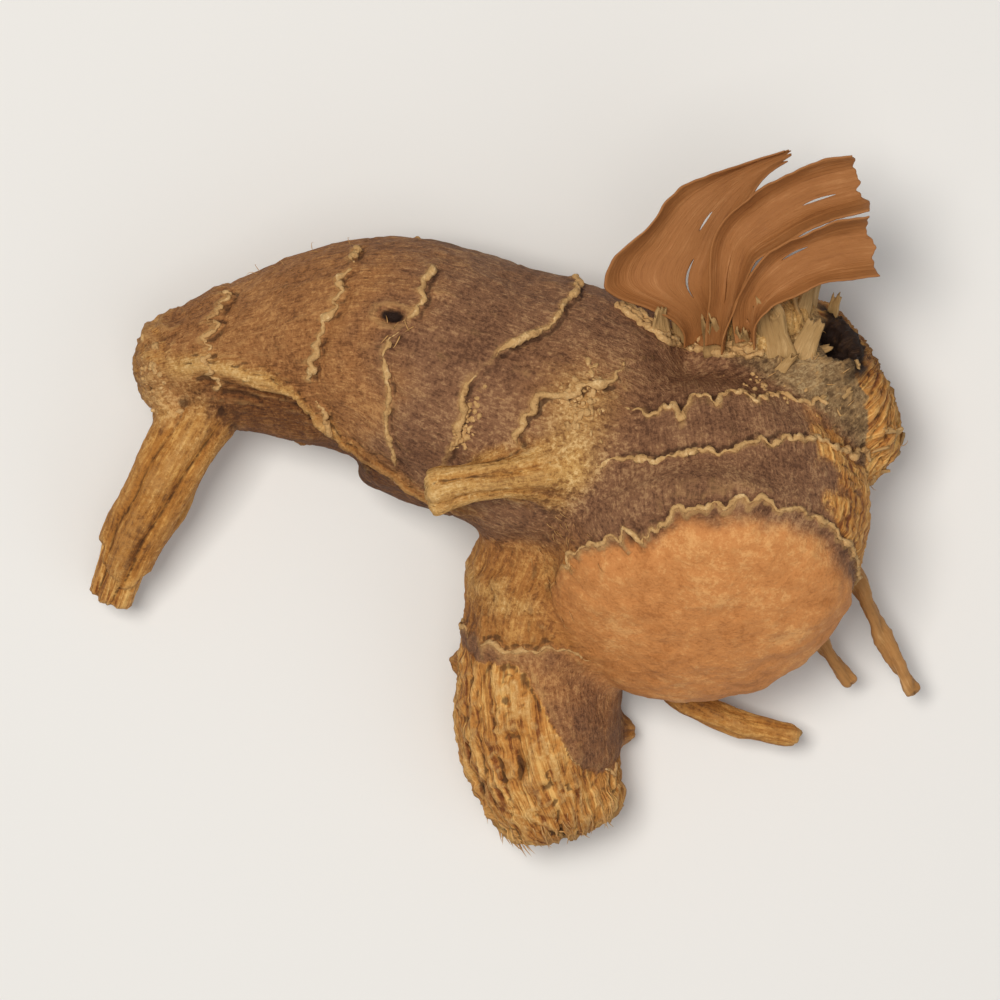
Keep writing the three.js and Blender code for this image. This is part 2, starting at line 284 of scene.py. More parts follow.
@dataclass(frozen=True)
class Scar:
    """The scar that a leaf left round a limb, with the torn lip that still stands on it.

    spots are (angle in degrees, share of the limb), span is in degrees, and whole is how
    much of the lip still stands; the rest is in millimetres.
    """

    spots: tuple[tuple[float, float], ...]
    seed: int
    lobe: float = 0.5
    pitch: float = 2.2
    lip: float = 0.5
    breadth: float = 0.6
    step: float = 0.22
    whole: float = 0.75
    span: tuple[float, float] = (-180.0, 180.0)

    def share_at(self, limb: Limb, angle: Numbers, detail: float = 1.0) -> Numbers:
        """How far along the limb the scar lies at each angle; detail fades its scallops.

        Args:
            limb: Its limb.
            angle: The angles.
            detail: How much of the scallops to keep.

        Returns:
            The shares.
        """
        degrees, shares = zip(*sorted(self.spots))
        slow = np.interp(np.degrees(angle), degrees, shares, period=360)
        ring = np.stack([np.cos(angle), np.sin(angle), np.full_like(angle, 0.37)], -1) * limb.radius
        wander = noise(ring / 4.0, self.seed) * 0.8
        lobes = round(TAU * limb.radius / self.pitch)
        swing = noise(ring / (1.7 * self.pitch), self.seed + 5) * 2.2
        arches = np.sqrt(np.abs(np.sin(angle * lobes / 2 + swing))) - 0.7
        small = np.abs(np.sin(angle * lobes * 1.5 + swing * 2.6 + 1)) - 0.6
        size = np.clip(0.75 + 0.9 * noise(ring / 3.1, self.seed + 9), 0.1, 1.5)
        fine = noise(ring / 0.7, self.seed + 3) * 0.16
        lift = arches * self.lobe * size + small * self.lobe * 0.3
        return slow + (wander - (lift - fine) * detail) / limb.route.length

    def line(self, limb: Limb, detail: float) -> Points:
        """The scar as points close together on the limb's plain skin."""
        angles = np.linspace(-math.pi, math.pi, int(TAU * limb.radius / 0.04))
        return limb.spots_at(self.share_at(limb, angles, detail), angles)

    def standing(self, limb: Limb, angle: Numbers) -> Numbers:
        """How much of the lip still stands at each angle, from 0 to 1.

        Args:
            limb: Its limb.
            angle: The angles.

        Returns:
            A number for each angle.
        """
        ring = np.stack([np.cos(angle), np.sin(angle), np.full_like(angle, -0.61)], -1) * limb.radius
        coarse = noise(ring / 3.3, self.seed + 21)
        fine = noise(ring / 0.7, self.seed + 22)
        present = smoothstep(-0.25, 0.05, coarse + (self.whole - 0.5) * 1.4)
        degrees = np.degrees(angle)
        present = present * smoothstep(self.span[0] - 3, self.span[0], degrees)
        present = present * smoothstep(self.span[1] + 3, self.span[1], degrees)
        return present * np.clip(0.72 + 0.55 * fine + 0.35 * coarse, 0.12, 1.4)


@dataclass
class Limb:
    """A limb of the root: a nearly round section carried along a route."""

    name: str
    route: Route
    radius: float
    girth: Sequence[float]
    caps: tuple[float, float] = (0.6, 0.6)
    sides: int = 28
    lumps: float = 0.03
    hollow: tuple[float, float] | None = None
    scars: tuple[Scar, ...] = ()
    is_root: bool = False

    @classmethod
    def grounded(
        cls, name: str, start: Sequence[float], reach: float, radius: float,
        stops: Sequence[Sequence[float]], girth: Sequence[float], **more: object,
    ) -> Limb:
        """A limb that lies on the ground.

        Args:
            name: Its name.
            start: Where it starts, over the ground.
            reach: How far it reaches; the stops' first two numbers are shares of it.
            radius: Its greatest radius.
            stops: Share to the right, share to the back, and height of the underside.
            girth: The radius at each stop, as a share of the greatest.
            **more: The other fields.

        Returns:
            The limb.
        """
        spots = [
            (start[0] + x * reach, start[1] + y * reach, low + radius * g)
            for (x, y, low), g in zip(stops, girth)
        ]
        return cls(name, Route(spots), radius, girth, **more)

    @classmethod
    def rooted(
        cls, name: str, start: Points, reach: float, radius: float,
        stops: Sequence[Sequence[float]], girth: Sequence[float], **more: object,
    ) -> Limb:
        """A root or stem that leaves another limb; its stops are shares of its reach from start."""
        spots = np.asarray(stops, float) * reach + start
        return cls(name, Route(spots), radius, girth, **{"lumps": 0.04, "is_root": True, "sides": 20, **more})

    def girth_at(self, share: Numbers) -> Numbers:
        """The limb's plain radius at each share."""
        return self.radius * blend(self.girth, np.asarray(share, float))

    def in_flesh(self, share: float, direction: Sequence[float], depth: float) -> Points:
        """A point under the limb's skin, out from its centre in a direction."""
        out = unit(np.asarray(direction, float)) * (float(self.girth_at(np.array(share))) - depth)
        return self.route.at(np.array(share)) + out

    def outwards(self, share: Numbers, angle: Numbers) -> Points:
        """The direction out of the limb at each share and angle."""
        side = self.route.take(self.route.side, share)
        lift = self.route.take(self.route.lift, share)
        return -side * np.cos(angle)[..., None] + lift * np.sin(angle)[..., None]

    def reach_out(self, share: Numbers, angle: Numbers) -> Numbers:
        """The limb's radius at each share and angle, with its slow waviness and hollow side.

        Args:
            share: The shares.
            angle: The angles.

        Returns:
            The radii.
        """
        slow = np.sin(2 * angle + 5 * share) + 0.8 * np.sin(3 * angle - 9 * share + 1)
        factor = 1 + self.lumps * slow
        if self.hollow:
            facing = np.maximum(0, np.cos(angle - self.hollow[0])) ** 2
            factor = factor - self.hollow[1] * facing * smoothstep(0.4, 0.9, share)
        return self.girth_at(share) * factor

    def spots_at(self, share: Numbers, angle: Numbers) -> Points:
        """The points of the plain skin at each share and angle."""
        return self.route.at(share) + self.outwards(share, angle) * self.skin_at(share, angle)[..., None]

    def skin_at(self, share: Numbers, angle: Numbers) -> Numbers:
        """The limb's radius at each share and angle, drawn in to its rounded ends."""
        heads = self._heads()
        cap = np.clip(np.minimum(share / heads[0], (1 - share) / heads[1]) * self.route.length, 0, 1)
        return self.reach_out(share, angle) * np.sqrt(np.clip(1 - (1 - cap) ** 2, 0, 1))

    def _heads(self) -> list[float]:
        """How long the limb's two rounded ends are."""
        return [self.caps[k] * float(self.girth_at(np.array(float(k)))) for k in (0, 1)]

    def shell(self, shape: bmesh.types.BMesh, step: float) -> None:
        """Adds the limb's closed shell to a shape, with rings about one step apart.

        Args:
            shape: The shape.
            step: How far apart the rings are.
        """
        length = self.route.length
        heads = self._heads()
        turns = np.sin(np.linspace(0, math.pi / 2, 7)) ** 2
        middle = np.arange(heads[0] + step, length - heads[1] - step / 2, step)
        first = heads[0] * (1 - np.cos(np.linspace(0, math.pi / 2, len(turns))))
        last = length - heads[1] * (1 - np.cos(np.linspace(math.pi / 2, 0, len(turns))))
        heights = np.concatenate([first, middle, last])
        made = bmesh.ops.create_grid(shape, x_segments=len(heights) - 1, y_segments=self.sides, size=0.5)
        verts = made["verts"]
        flat = np.array([v.co for v in verts])
        row = np.rint((flat[:, 0] + 0.5) * (len(heights) - 1)).astype(int)
        angle = (flat[:, 1] + 0.5) * TAU
        for vert, spot in zip(verts, self.spots_at(heights[row] / length, angle)):
            vert.co = spot
        bmesh.ops.remove_doubles(shape, verts=verts, dist=1e-4)

    def locate(self, points: Points) -> Place:
        """Finds the share, the angle and the height over the skin of each point.

        Args:
            points: The points.

        Returns:
            Where they lie.
        """
        coarse = self.route.points[::4]
        gaps = (coarse**2).sum(1) - 2 * points @ coarse.T
        share = gaps.argmin(1) * 4 / (self.route.SAMPLES - 1)
        for _ in range(3):
            ahead = ((points - self.route.at(share)) * self.route.take(self.route.heading, share)).sum(-1)
            share = np.clip(share + ahead / self.route.length, -0.6, 1.6)
        gap = points - self.route.at(share)
        side = self.route.take(self.route.side, share)
        lift = self.route.take(self.route.lift, share)
        angle = np.arctan2((gap * lift).sum(-1), -(gap * side).sum(-1))
        far = np.linalg.norm(gap, axis=1)
        held = np.clip(share, 0, 1)
        skin = self.skin_at(held, angle)
        over = np.abs(share - held) * self.route.length
        height = np.where(over > 0, np.hypot(far, over), far - skin)
        around = np.stack([np.cos(angle), np.sin(angle)], -1) * self.radius
        foot = self.route.at(held) + self.outwards(held, angle) * skin[:, None]
        return Place(foot, share, angle, height, share * self.route.length, around)


# ---- The root's limbs ----


class Anatomy:
    """Every limb of the root, placed as it grew."""

    def __init__(self) -> None:
        """Sets out the limbs and the roots that they bear."""
        self.arm = self._arm()
        self.knob = self._knob()
        self.shoulder = self._shoulder()
        self.branch = self._branch()
        self.stem_base = Limb.rooted(
            "stem_base", self.shoulder.in_flesh(0.42, (-0.1, 0.8, 0.45), 3), 6.4, 3.9,
            [(0, 0, 0), (0.06, 0.35, 0.24), (0.1, 0.82, 0.52)], (1.08, 1, 0.94),
            caps=(0.5, 0.25), sides=24,
        )
        self.roots = self._roots()
        self.stubs = self._stubs()

    @staticmethod
    def _arm() -> Limb:
        """The arm that runs in from the thin tip."""
        low = -WORN_DEPTH
        return Limb.grounded(
            "arm", HEART, 41, 10.6,
            [(0, 0, low), (-0.19, 0.07, low), (-0.38, 0.138, low), (-0.56, 0.205, 0), (-0.73, 0.2, 1.3),
             (-0.88, 0.178, 2.8), (-1, 0.155, 4)],
            (0.97, 0.99, 0.97, 0.93, 0.7, 0.5, 0.32), sides=36,
            scars=(
                Scar(
                    ((-60, 0.1), (-32, 0.13), (-15, 0.2), (-2, 0.262), (13, 0.28), (24, 0.22),
                     (40, 0.18)),
                    seed=29, lobe=1.3, pitch=2.6, lip=0.5, breadth=0.62, step=0.2, whole=0.9,
                    span=(-30, 16),
                ),
                Scar(
                    ((-60, 0.27), (-34, 0.283), (-19, 0.355), (0, 0.395), (22, 0.375), (60, 0.37),
                     (180, 0.33)),
                    seed=31, lobe=0.6, pitch=3.0, lip=0.46, breadth=0.55, step=0.25, whole=0.72,
                    span=(-75, 75),
                ),
                Scar(
                    ((-60, 0.515), (-20, 0.53), (0, 0.54), (31, 0.503), (50, 0.46), (180, 0.49)),
                    seed=43, lobe=0.25, pitch=1.3, lip=0.4, breadth=0.48, step=0.08, whole=0.62,
                    span=(-44, 52),
                ),
                Scar(
                    ((-60, 0.6), (-13, 0.61), (17, 0.655), (31, 0.65), (60, 0.64), (180, 0.62)),
                    seed=57, lobe=0.65, pitch=2.2, lip=0.42, breadth=0.5, step=0.16, whole=0.7,
                    span=(-60, 60),
                ),
                Scar(
                    ((-60, 0.82), (-46, 0.828), (-6, 0.872), (40, 0.86), (180, 0.84)),
                    seed=61, lobe=1.1, pitch=2.9, lip=0.36, breadth=0.4, step=0.3, whole=0.75,
                    span=(-60, 30),
                ),
            ),
        )

    @staticmethod
    def _knob() -> Limb:
        """The knob that turns forward and up to its bare dome."""
        low = -WORN_DEPTH
        return Limb.grounded(
            "knob", HEART + (1.6, 5), 19, 12,
            [(-0.04, 0.04, 0.4), (0, -0.21, low), (0.02, -0.447, low), (0.03, -0.68, 1.5),
             (0.005, -0.965, 7.2)],
            (0.74, 0.93, 1, 1, 0.94), caps=(0.7, 0.42), sides=36, hollow=(0.75, 0.18),
            scars=(
                Scar(
                    ((-131, 0.108), (-121, 0.19), (-105, 0.21), (-74, 0.2), (-40, 0.2), (60, 0.2),
                     (180, 0.15)),
                    seed=71, lobe=1.5, pitch=3.4, lip=0.42, breadth=0.46, step=0.3, whole=0.85,
                ),
                Scar(
                    ((-156, 0.42), (-140, 0.33), (-104, 0.345), (-78, 0.31), (-23, 0.312), (0, 0.36),
                     (90, 0.36), (170, 0.42)),
                    seed=83, lobe=1.25, pitch=2.9, lip=0.5, breadth=0.55, step=0.35, whole=0.95,
                ),
                Scar(
                    ((-161, 0.82), (-136, 0.865), (-108, 0.895), (-88, 0.878), (-72, 0.835),
                     (-41, 0.79), (-26, 0.77), (0, 0.7), (40, 0.62), (90, 0.64), (135, 0.72)),
                    seed=97, lobe=0.85, pitch=2.3, lip=0.42, breadth=0.36, step=0.1, whole=1.1,
                    span=(-166, 30),
                ),
            ),
        )

    @staticmethod
    def _shoulder() -> Limb:
        """The shoulder behind the knob, with the pit of a lost stem."""
        return Limb.grounded(
            "shoulder", HEART, 13, 8.6,
            [(0, 0, 1.2), (0.45, 0.2, -WORN_DEPTH), (0.82, 0.42, 1), (1.14, 0.62, 2.6)],
            (0.9, 1, 0.92, 0.76), caps=(0.6, 0.4), sides=32,
            scars=(
                Scar(
                    ((-90, 0.7), (0, 0.66), (90, 0.7), (180, 0.75)),
                    seed=103, lobe=0.6, pitch=1.9, lip=0.35, breadth=0.4, step=0.2, whole=0.6,
                ),
            ),
        )

    @staticmethod
    def _branch() -> Limb:
        """The short branch with its frayed end."""
        low = -WORN_DEPTH
        return Limb.grounded(
            "branch", HEART + (-6.2, -3.4), 22.5, 6.6,
            [(0, 0, 1.5), (-0.14, -0.25, 0.3), (-0.19, -0.52, low), (-0.17, -0.79, low), (-0.06, -1.12, 0.3)],
            (1, 1, 0.97, 0.98, 0.72), caps=(0.6, 0.35), sides=30, hollow=(1.25, 0.2),
            scars=(
                Scar(
                    ((-44, 0.415), (-6, 0.428), (10, 0.408), (27, 0.43), (50, 0.5), (90, 0.5),
                     (180, 0.42)),
                    seed=113, lobe=0.7, pitch=2.2, lip=0.35, breadth=0.36, step=0.2, whole=0.75,
                ),
                Scar(
                    ((-90, 0.44), (-20, 0.475), (-5, 0.53), (5, 0.63), (19, 0.77), (29, 0.83),
                     (60, 0.85), (120, 0.82), (180, 0.56)),
                    seed=127, lobe=0.9, pitch=2.6, lip=0.3, breadth=0.3, step=-0.25, whole=0.3,
                ),
            ),
        )

    def _roots(self) -> dict[str, Limb]:
        """The roots that are still there, by name."""
        arm, knob = self.arm, self.knob
        return {
            "strap_root": Limb.rooted(
                "strap_root", arm.in_flesh(0.88, (0, -1, 0), 2.6), 19, 2.7,
                [(0.06, 0.05, 0.02), (-0.09, -0.19, 0.03), (-0.22, -0.43, -0.03), (-0.33, -0.64, -0.13),
                 (-0.42, -0.86, -0.27)],
                (1.15, 1.02, 0.94, 0.86, 0.76), caps=(0.6, 0.4),
            ),
            "stub_root": Limb.rooted(
                "stub_root", arm.in_flesh(0.22, (-0.1, -0.48, 0.88), 3.2), 11, 2.1,
                [(0.14, 0.1, -0.3), (0.08, 0.0, 0.06), (-0.14, -0.06, 0.27), (-0.47, -0.12, 0.33),
                 (-0.86, -0.2, 0.3)],
                (1.5, 1.6, 1.0, 0.72, 0.84), caps=(0.5, 0.35),
            ),
            "lower_rootlet": Limb.rooted(
                "lower_rootlet", knob.in_flesh(0.62, (-0.35, -0.62, -0.7), 2), 12.5, 1.1,
                [(0, 0, 0), (0.1, -0.33, -0.08), (0.42, -0.53, -0.13), (0.9, -0.65, -0.2)],
                (1.5, 1.25, 1.1, 0.9),
            ),
            "wire_root": Limb.rooted(
                "wire_root", knob.in_flesh(0.6, (0.93, 0, -0.35), 1.4), 16, 0.75,
                [(0, 0, 0), (0.13, -0.2, -0.1), (0.25, -0.44, -0.19), (0.41, -0.71, -0.31)],
                (1.5, 1.05, 1, 0.85), sides=14,
            ),
            "inner_wire_root": Limb.rooted(
                "inner_wire_root", knob.in_flesh(0.66, (0.68, -0.3, -0.66), 1.4), 9.5, 0.75,
                [(0, 0, 0), (0.2, -0.32, -0.12), (0.46, -0.66, -0.28)], (1.4, 1, 0.8), sides=14,
            ),
        }

    def _stubs(self) -> list[Limb]:
        """Short stubs of the roots that broke off the flank and the underside."""
        width = 1.5
        spots = (
            (self.arm, 0.72, (0.1, -0.86, -0.5)), (self.arm, 0.5, (0, 0.85, -0.52)),
            (self.arm, 0.34, (0, -0.8, -0.6)), (self.knob, 0.4, (0.86, 0.1, -0.5)),
            (self.branch, 0.5, (-0.86, 0, -0.5)), (self.branch, 0.7, (0.86, 0, -0.5)),
            (self.shoulder, 0.62, (0.1, 0.8, -0.6)),
        )
        return [
            Limb.rooted(
                f"root_stub_{number}", bearer.in_flesh(share, way, width), 2 * width, width,
                [(0, 0, 0), tuple(0.5 * np.array(way)), way], (1, 0.9, 0.7), caps=(0.5, 0.5), sides=14,
            )
            for number, (bearer, share, way) in enumerate(spots)
        ]

    @property
    def skinned(self) -> list[Limb]:
        """The limbs that share one skin."""
        grown = [self.arm, self.knob, self.shoulder, self.branch, self.stem_base]
        kept = [self.roots[name] for name in ("strap_root", "stub_root", "lower_rootlet")]
        return [*grown, *kept, *self.stubs]


# ---- Shader nodes ----

Colour = tuple[float, float, float]
Feed = Union["Wire", float, Sequence[float]]


class Wire:
    """A number on its way through a material's nodes, which sums can be written on."""

    def __init__(self, bench: Bench, socket: bpy.types.NodeSocket) -> None:
        """Holds an output socket of a bench's node tree."""
        self.bench = bench
        self.socket = socket

    def _sum(self, operation: str, first: Feed, second: Feed) -> Wire:
        """The result of a Math node."""
        return self.bench.node("ShaderNodeMath", {"operation": operation}, {0: first, 1: second})

    def __add__(self, other: Feed) -> Wire:
        """The two added."""
        return self._sum("ADD", self, other)

    def __radd__(self, other: Feed) -> Wire:
        """The two added."""
        return self._sum("ADD", other, self)

    def __sub__(self, other: Feed) -> Wire:
        """The other taken from this."""
        return self._sum("SUBTRACT", self, other)

    def __rsub__(self, other: Feed) -> Wire:
        """This taken from the other."""
        return self._sum("SUBTRACT", other, self)

    def __mul__(self, other: Feed) -> Wire:
        """The two multiplied."""
        return self._sum("MULTIPLY", self, other)

    def __rmul__(self, other: Feed) -> Wire:
        """The two multiplied."""
        return self._sum("MULTIPLY", other, self)

    def eased(self, low: float, high: float) -> Wire:
        """How far this has come from low to high, eased at both ends."""
        settings = {"interpolation_type": "SMOOTHSTEP"}
        return self.bench.node("ShaderNodeMapRange", settings, {0: self, 1: low, 2: high})


class Bench:
    """The nodes of one material."""

    def __init__(self, name: str) -> None:
        """Makes an empty material with its shader."""
        self.material = bpy.data.materials.new(name)
        self.material.use_nodes = True
        self.tree = self.material.node_tree
        self.shader = self.tree.nodes["Principled BSDF"]

    def node(
        self, kind: str, settings: dict[str, object], inputs: dict[int | str, Feed], out: int = 0,
    ) -> Wire:
        """Adds a node.

        Args:
            kind: Its type.
            settings: Its properties, which are set first.
            inputs: What its sockets get, by name or place.
            out: Which of its outputs to give back.

        Returns:
            That output.
        """
        made = self.tree.nodes.new(kind)
        for key, value in settings.items():
            setattr(made, key, value)
        for key, feed in inputs.items():
            self.feed(made.inputs[key], feed)
        return Wire(self, made.outputs[out])

    def feed(self, socket: bpy.types.NodeSocket, feed: Feed) -> None:
        """Links a wire to a socket, or sets its constant."""
        if isinstance(feed, Wire):
            self.tree.links.new(feed.socket, socket)
        else:
            socket.default_value = feed

    def attribute(self, name: str, out: int = 2) -> Wire:
        """What the piece's mesh says of itself: a number, or a vector from output 1."""
        return self.node("ShaderNodeAttribute", {"attribute_name": name}, {}, out)

    def places(self) -> Wire:
        """Where each point of the piece lies, in metres."""
        return self.node("ShaderNodeTexCoord", {}, {}, 3)

    def stretched(self, vector: Wire, sizes: Sequence[float]) -> Wire:
        """A vector with each axis divided by a grain's size there."""
        shares = tuple(1 / size for size in sizes)
        return self.node("ShaderNodeVectorMath", {"operation": "MULTIPLY"}, {0: vector, 1: shares})

    def noise(self, vector: Wire, sizes: Sequence[float], detail: float = 3, rough: float = 0.55) -> Wire:
        """Noise from 0 to 1 with grains of the given sizes."""
        inputs = {"Vector": self.stretched(vector, sizes), "Scale": 1.0, "Detail": detail, "Roughness": rough}
        return self.node("ShaderNodeTexNoise", {}, inputs)

    def mix(self, share: Feed, first: Feed, second: Feed, way: str = "MIX") -> Wire:
        """Two colours mixed."""
        settings = {"data_type": "RGBA", "blend_type": way, "clamp_factor": True}
        inputs = {0: share, 6: self._full(first), 7: self._full(second)}
        return self.node("ShaderNodeMix", settings, inputs, 2)

    @staticmethod
    def _full(feed: Feed) -> Feed:
        """A colour with its fourth number."""
        return feed if isinstance(feed, Wire) else (*feed, 1.0)

    def between(self, share: Wire, low: Colour, middle: Colour, high: Colour) -> Wire:
        """A colour that runs from low by middle to high as noise does."""
        return self.mix(share.eased(0.5, 0.72), self.mix(share.eased(0.28, 0.5), low, middle), high)

    def bump(self, height: Wire, distance: float, strength: float = 1.0) -> Wire:
        """A normal bent by a height; distance is in metres."""
        return self.node("ShaderNodeBump", {}, {"Strength": strength, "Distance": distance, "Height": height})

    def finish(
        self, colour: Wire, roughness: Wire, normal: Wire, specular: float = 0.25,
    ) -> bpy.types.Material:
        """Joins the nodes to the shader.

        Args:
            colour: The base colour.
            roughness: The roughness.
            normal: The bent normal.
            specular: How strongly the surface mirrors.

        Returns:
            The finished material.
        """
        self.feed(self.shader.inputs["Base Color"], colour)
        self.feed(self.shader.inputs["Roughness"], roughness)
        self.feed(self.shader.inputs["Normal"], normal)
        self.shader.inputs["Specular IOR Level"].default_value = specular
        return self.material


@dataclass(frozen=True)
class Bark:
    """The dried skin of the root, from purple-brown near the knob to orange near the thin tip."""

    purple: tuple[Colour, Colour, Colour] = ((0.12, 0.05, 0.023), (0.235, 0.107, 0.05), (0.4, 0.215, 0.1))
    orange: tuple[Colour, Colour, Colour] = ((0.19, 0.07, 0.02), (0.36, 0.15, 0.047), (0.53, 0.26, 0.09))
    flesh: tuple[Colour, Colour, Colour] = ((0.45, 0.165, 0.042), (0.59, 0.238, 0.07), (0.73, 0.36, 0.125))
    cork: tuple[Colour, Colour, Colour] = ((0.19, 0.066, 0.013), (0.43, 0.172, 0.031), (0.66, 0.335, 0.085))
    fray: tuple[Colour, Colour, Colour] = ((0.2, 0.056, 0.011), (0.53, 0.225, 0.048), (0.8, 0.455, 0.14))
    moss: tuple[Colour, Colour, Colour] = ((0.12, 0.068, 0.03), (0.26, 0.155, 0.068), (0.43, 0.29, 0.14))
    pale: tuple[Colour, Colour, Colour] = ((0.38, 0.18, 0.048), (0.64, 0.36, 0.11), (0.84, 0.56, 0.24))
    # The flank colours are the underside's own reddish brown, darkened with painted shade.
    flank: tuple[Colour, Colour, Colour] = ((0.055, 0.018, 0.005), (0.15, 0.05, 0.012), (0.3, 0.125, 0.036))
    lip: Colour = (0.6, 0.345, 0.125)
    # The next colour is painted shade, laid into the skin's hollows.
    crease_shade: Colour = (0.045, 0.018, 0.007)
    # The next colour is painted shade for the pit, the knot, the branch's holes and the strap root's joint.
    recess_shade_colour: Colour = (0.02, 0.008, 0.004)

    def material(self) -> bpy.types.Material:
        """Builds the material."""
        bench = Bench("bark")
        grain, where = bench.attribute("grain", 1), bench.places()
        sure = bench.attribute("sure") * (1 - bench.attribute("flesh") * 0.85)
        wool = bench.noise(where, (0.00055, 0.00055, 0.00055), 4, 0.7)
        lines = bench.noise(grain, (1.0, 0.24, 0.24), 4, 0.68)
        hatch = wool + (lines - wool) * sure
        cloud = bench.noise(where, (0.0042, 0.0042, 0.0042), 3)
        speckle = bench.noise(where, (0.00024, 0.00024, 0.00024), 3, 0.7)
        tone = (hatch * 0.26 + wool * 0.26 + cloud * 0.2 + speckle * 0.28 - 0.5) * 2.7 + 0.5
        strands = bench.noise(grain, (3.4, 0.34, 0.34), 4, 0.55)
        strand = (strands * 0.6 + wool * 0.15 + cloud * 0.25 - 0.5) * 2.5 + 0.5
        shade = self._ground(bench, tone, cloud, speckle)
        shade = self._worked(bench, shade, tone, strand, speckle, cloud)
        hollow = bench.attribute("cavity")
        # Painted shade: where the cavity mark says the skin is hollow, the skin darkens towards the crease
        # shade colour.
        shade = bench.mix(hollow.eased(0.3, 1.5) * 0.72, shade, self.crease_shade)
        shade = bench.mix((hollow * -1.0).eased(0.2, 1.3) * 0.3, shade, self.lip)
        # Painted shade: deep in the pit, the knot, the branch's holes and the strap root's joint, the skin is
        # darkened almost to black.
        shade = bench.mix((bench.attribute("recess_shade") + (wool - 0.5) * 0.5).eased(0.1, 0.9), shade, self.recess_shade_colour)
        rough = 0.62 + speckle * 0.22
        height = (hatch * 0.35 + wool * 0.3 + speckle * 0.35) * (1 - bench.attribute("flesh") * 0.5)
        height = height + (strands * 1.3 - height) * (bench.attribute("torn").eased(0.2, 0.8) * 0.75)
        return bench.finish(shade, rough, bench.bump(height, 0.0005, 0.9))

    def _ground(self, bench: Bench, tone: Wire, cloud: Wire, speckle: Wire) -> Wire:
        """The skin's own colours, before what roots and tears show.

        Args:
            bench: The nodes.
            tone: The grain.
            cloud: Broad noise.
            speckle: Fine noise.

        Returns:
            The colour.
        """
        tanned = (bench.attribute("tan") + (cloud - 0.5) * 0.9).eased(0.25, 0.8)
        shade = bench.mix(tanned, bench.between(tone, *self.purple), bench.between(tone, *self.orange))
        mossy = (bench.attribute("moss") + (cloud - 0.5) * 0.5 + (speckle - 0.5) * 0.4).eased(0.3, 0.8)
        shade = bench.mix(mossy, shade, bench.between(tone, *self.moss))
        # Painted shade: below the arm's split edge, the skin takes the darker flank colours.
        return bench.mix(bench.attribute("flank") * 0.9, shade, bench.between(tone, *self.flank))

    def _worked(
        self, bench: Bench, shade: Wire, tone: Wire, strand: Wire, speckle: Wire, cloud: Wire,
    ) -> Wire:
        """The colours of the dome, the roots, the torn places and the scars, over the skin's own.

        Args:
            bench: The nodes.
            shade: The skin's own colour.
            tone: The grain.
            strand: The grain where it is fibrous.
            speckle: Fine noise.
            cloud: Broad noise.

        Returns:
            The colour.
        """
        mottle = bench.noise(bench.places(), (0.0008, 0.0008, 0.0008), 3, 0.6)
        flesh = bench.between((mottle * 0.32 + cloud * 0.38 + speckle * 0.3 - 0.5) * 1.8 + 0.5, *self.flesh)
        shade = bench.mix(bench.attribute("flesh"), shade, flesh)
        corky = bench.between(tone * 0.45 + strand * 0.55, *self.cork)
        shade = bench.mix(bench.attribute("cork"), shade, corky)
        torn = (bench.attribute("torn") + (speckle - 0.5) * 0.5).eased(0.3, 0.7)
        shade = bench.mix(torn, shade, bench.between(tone * 0.2 + strand * 0.8, *self.fray))
        faded = (bench.attribute("pale") + (tone - 0.5) * 0.3).eased(0.1, 0.8)
        shade = bench.mix(faded, shade, bench.between(tone, *self.pale))
        gap = bench.attribute("scar_gap") + (speckle - 0.5) * 0.4
        line = (1 - gap.eased(0.05, 0.28)) * bench.attribute("scar_lip").eased(0.15, 0.7)
        return bench.mix(line * 0.3, shade, self.lip)


@dataclass(frozen=True)
class ScarLip:
    """The cream, corky lips that old leaves left."""

    tones: tuple[Colour, Colour, Colour] = ((0.29, 0.14, 0.047), (0.56, 0.33, 0.13), (0.82, 0.57, 0.28))

    def material(self) -> bpy.types.Material:
        """Builds the material."""
        bench = Bench("scar_lip")
        where = bench.places()
        soft = bench.noise(where, (0.0011, 0.0011, 0.0011), 3)
        fine = bench.noise(where, (0.00025, 0.00025, 0.00025), 3, 0.65)
        shade = bench.between(soft * 0.55 + fine * 0.45, *self.tones)
        return bench.finish(shade, 0.7 + fine * 0.2, bench.bump(fine, 0.00025, 0.7))


@dataclass(frozen=True)
class Fibrous:
    """Dry plant matter with a grain along the piece: roots, fibres, stem stumps and leaf sheaths."""

    name: str
    tones: tuple[Colour, Colour, Colour]
    grain: tuple[float, float, float] = (3.0, 0.22, 0.22)
    depth: float = 0.0002
    gloss: float = 0.55
    specular: float = 0.3

    def material(self) -> bpy.types.Material:
        """Builds the material."""
        bench = Bench(self.name)
        grain = bench.attribute("grain", 1)
        lines = bench.noise(grain, self.grain, 4, 0.6)
        cloud = bench.noise(grain, (2.4, 1.5, 1.5), 3)
        fine = bench.noise(grain, (0.5, 0.1, 0.1), 3, 0.6)
        tone = lines * 0.42 + cloud * 0.38 + fine * 0.2
        shade = bench.between(tone, *self.tones)
        height = lines * 0.7 + fine * 0.3
        normal = bench.bump(height, self.depth, 0.8)
        return bench.finish(shade, self.gloss + fine * 0.2, normal, self.specular)


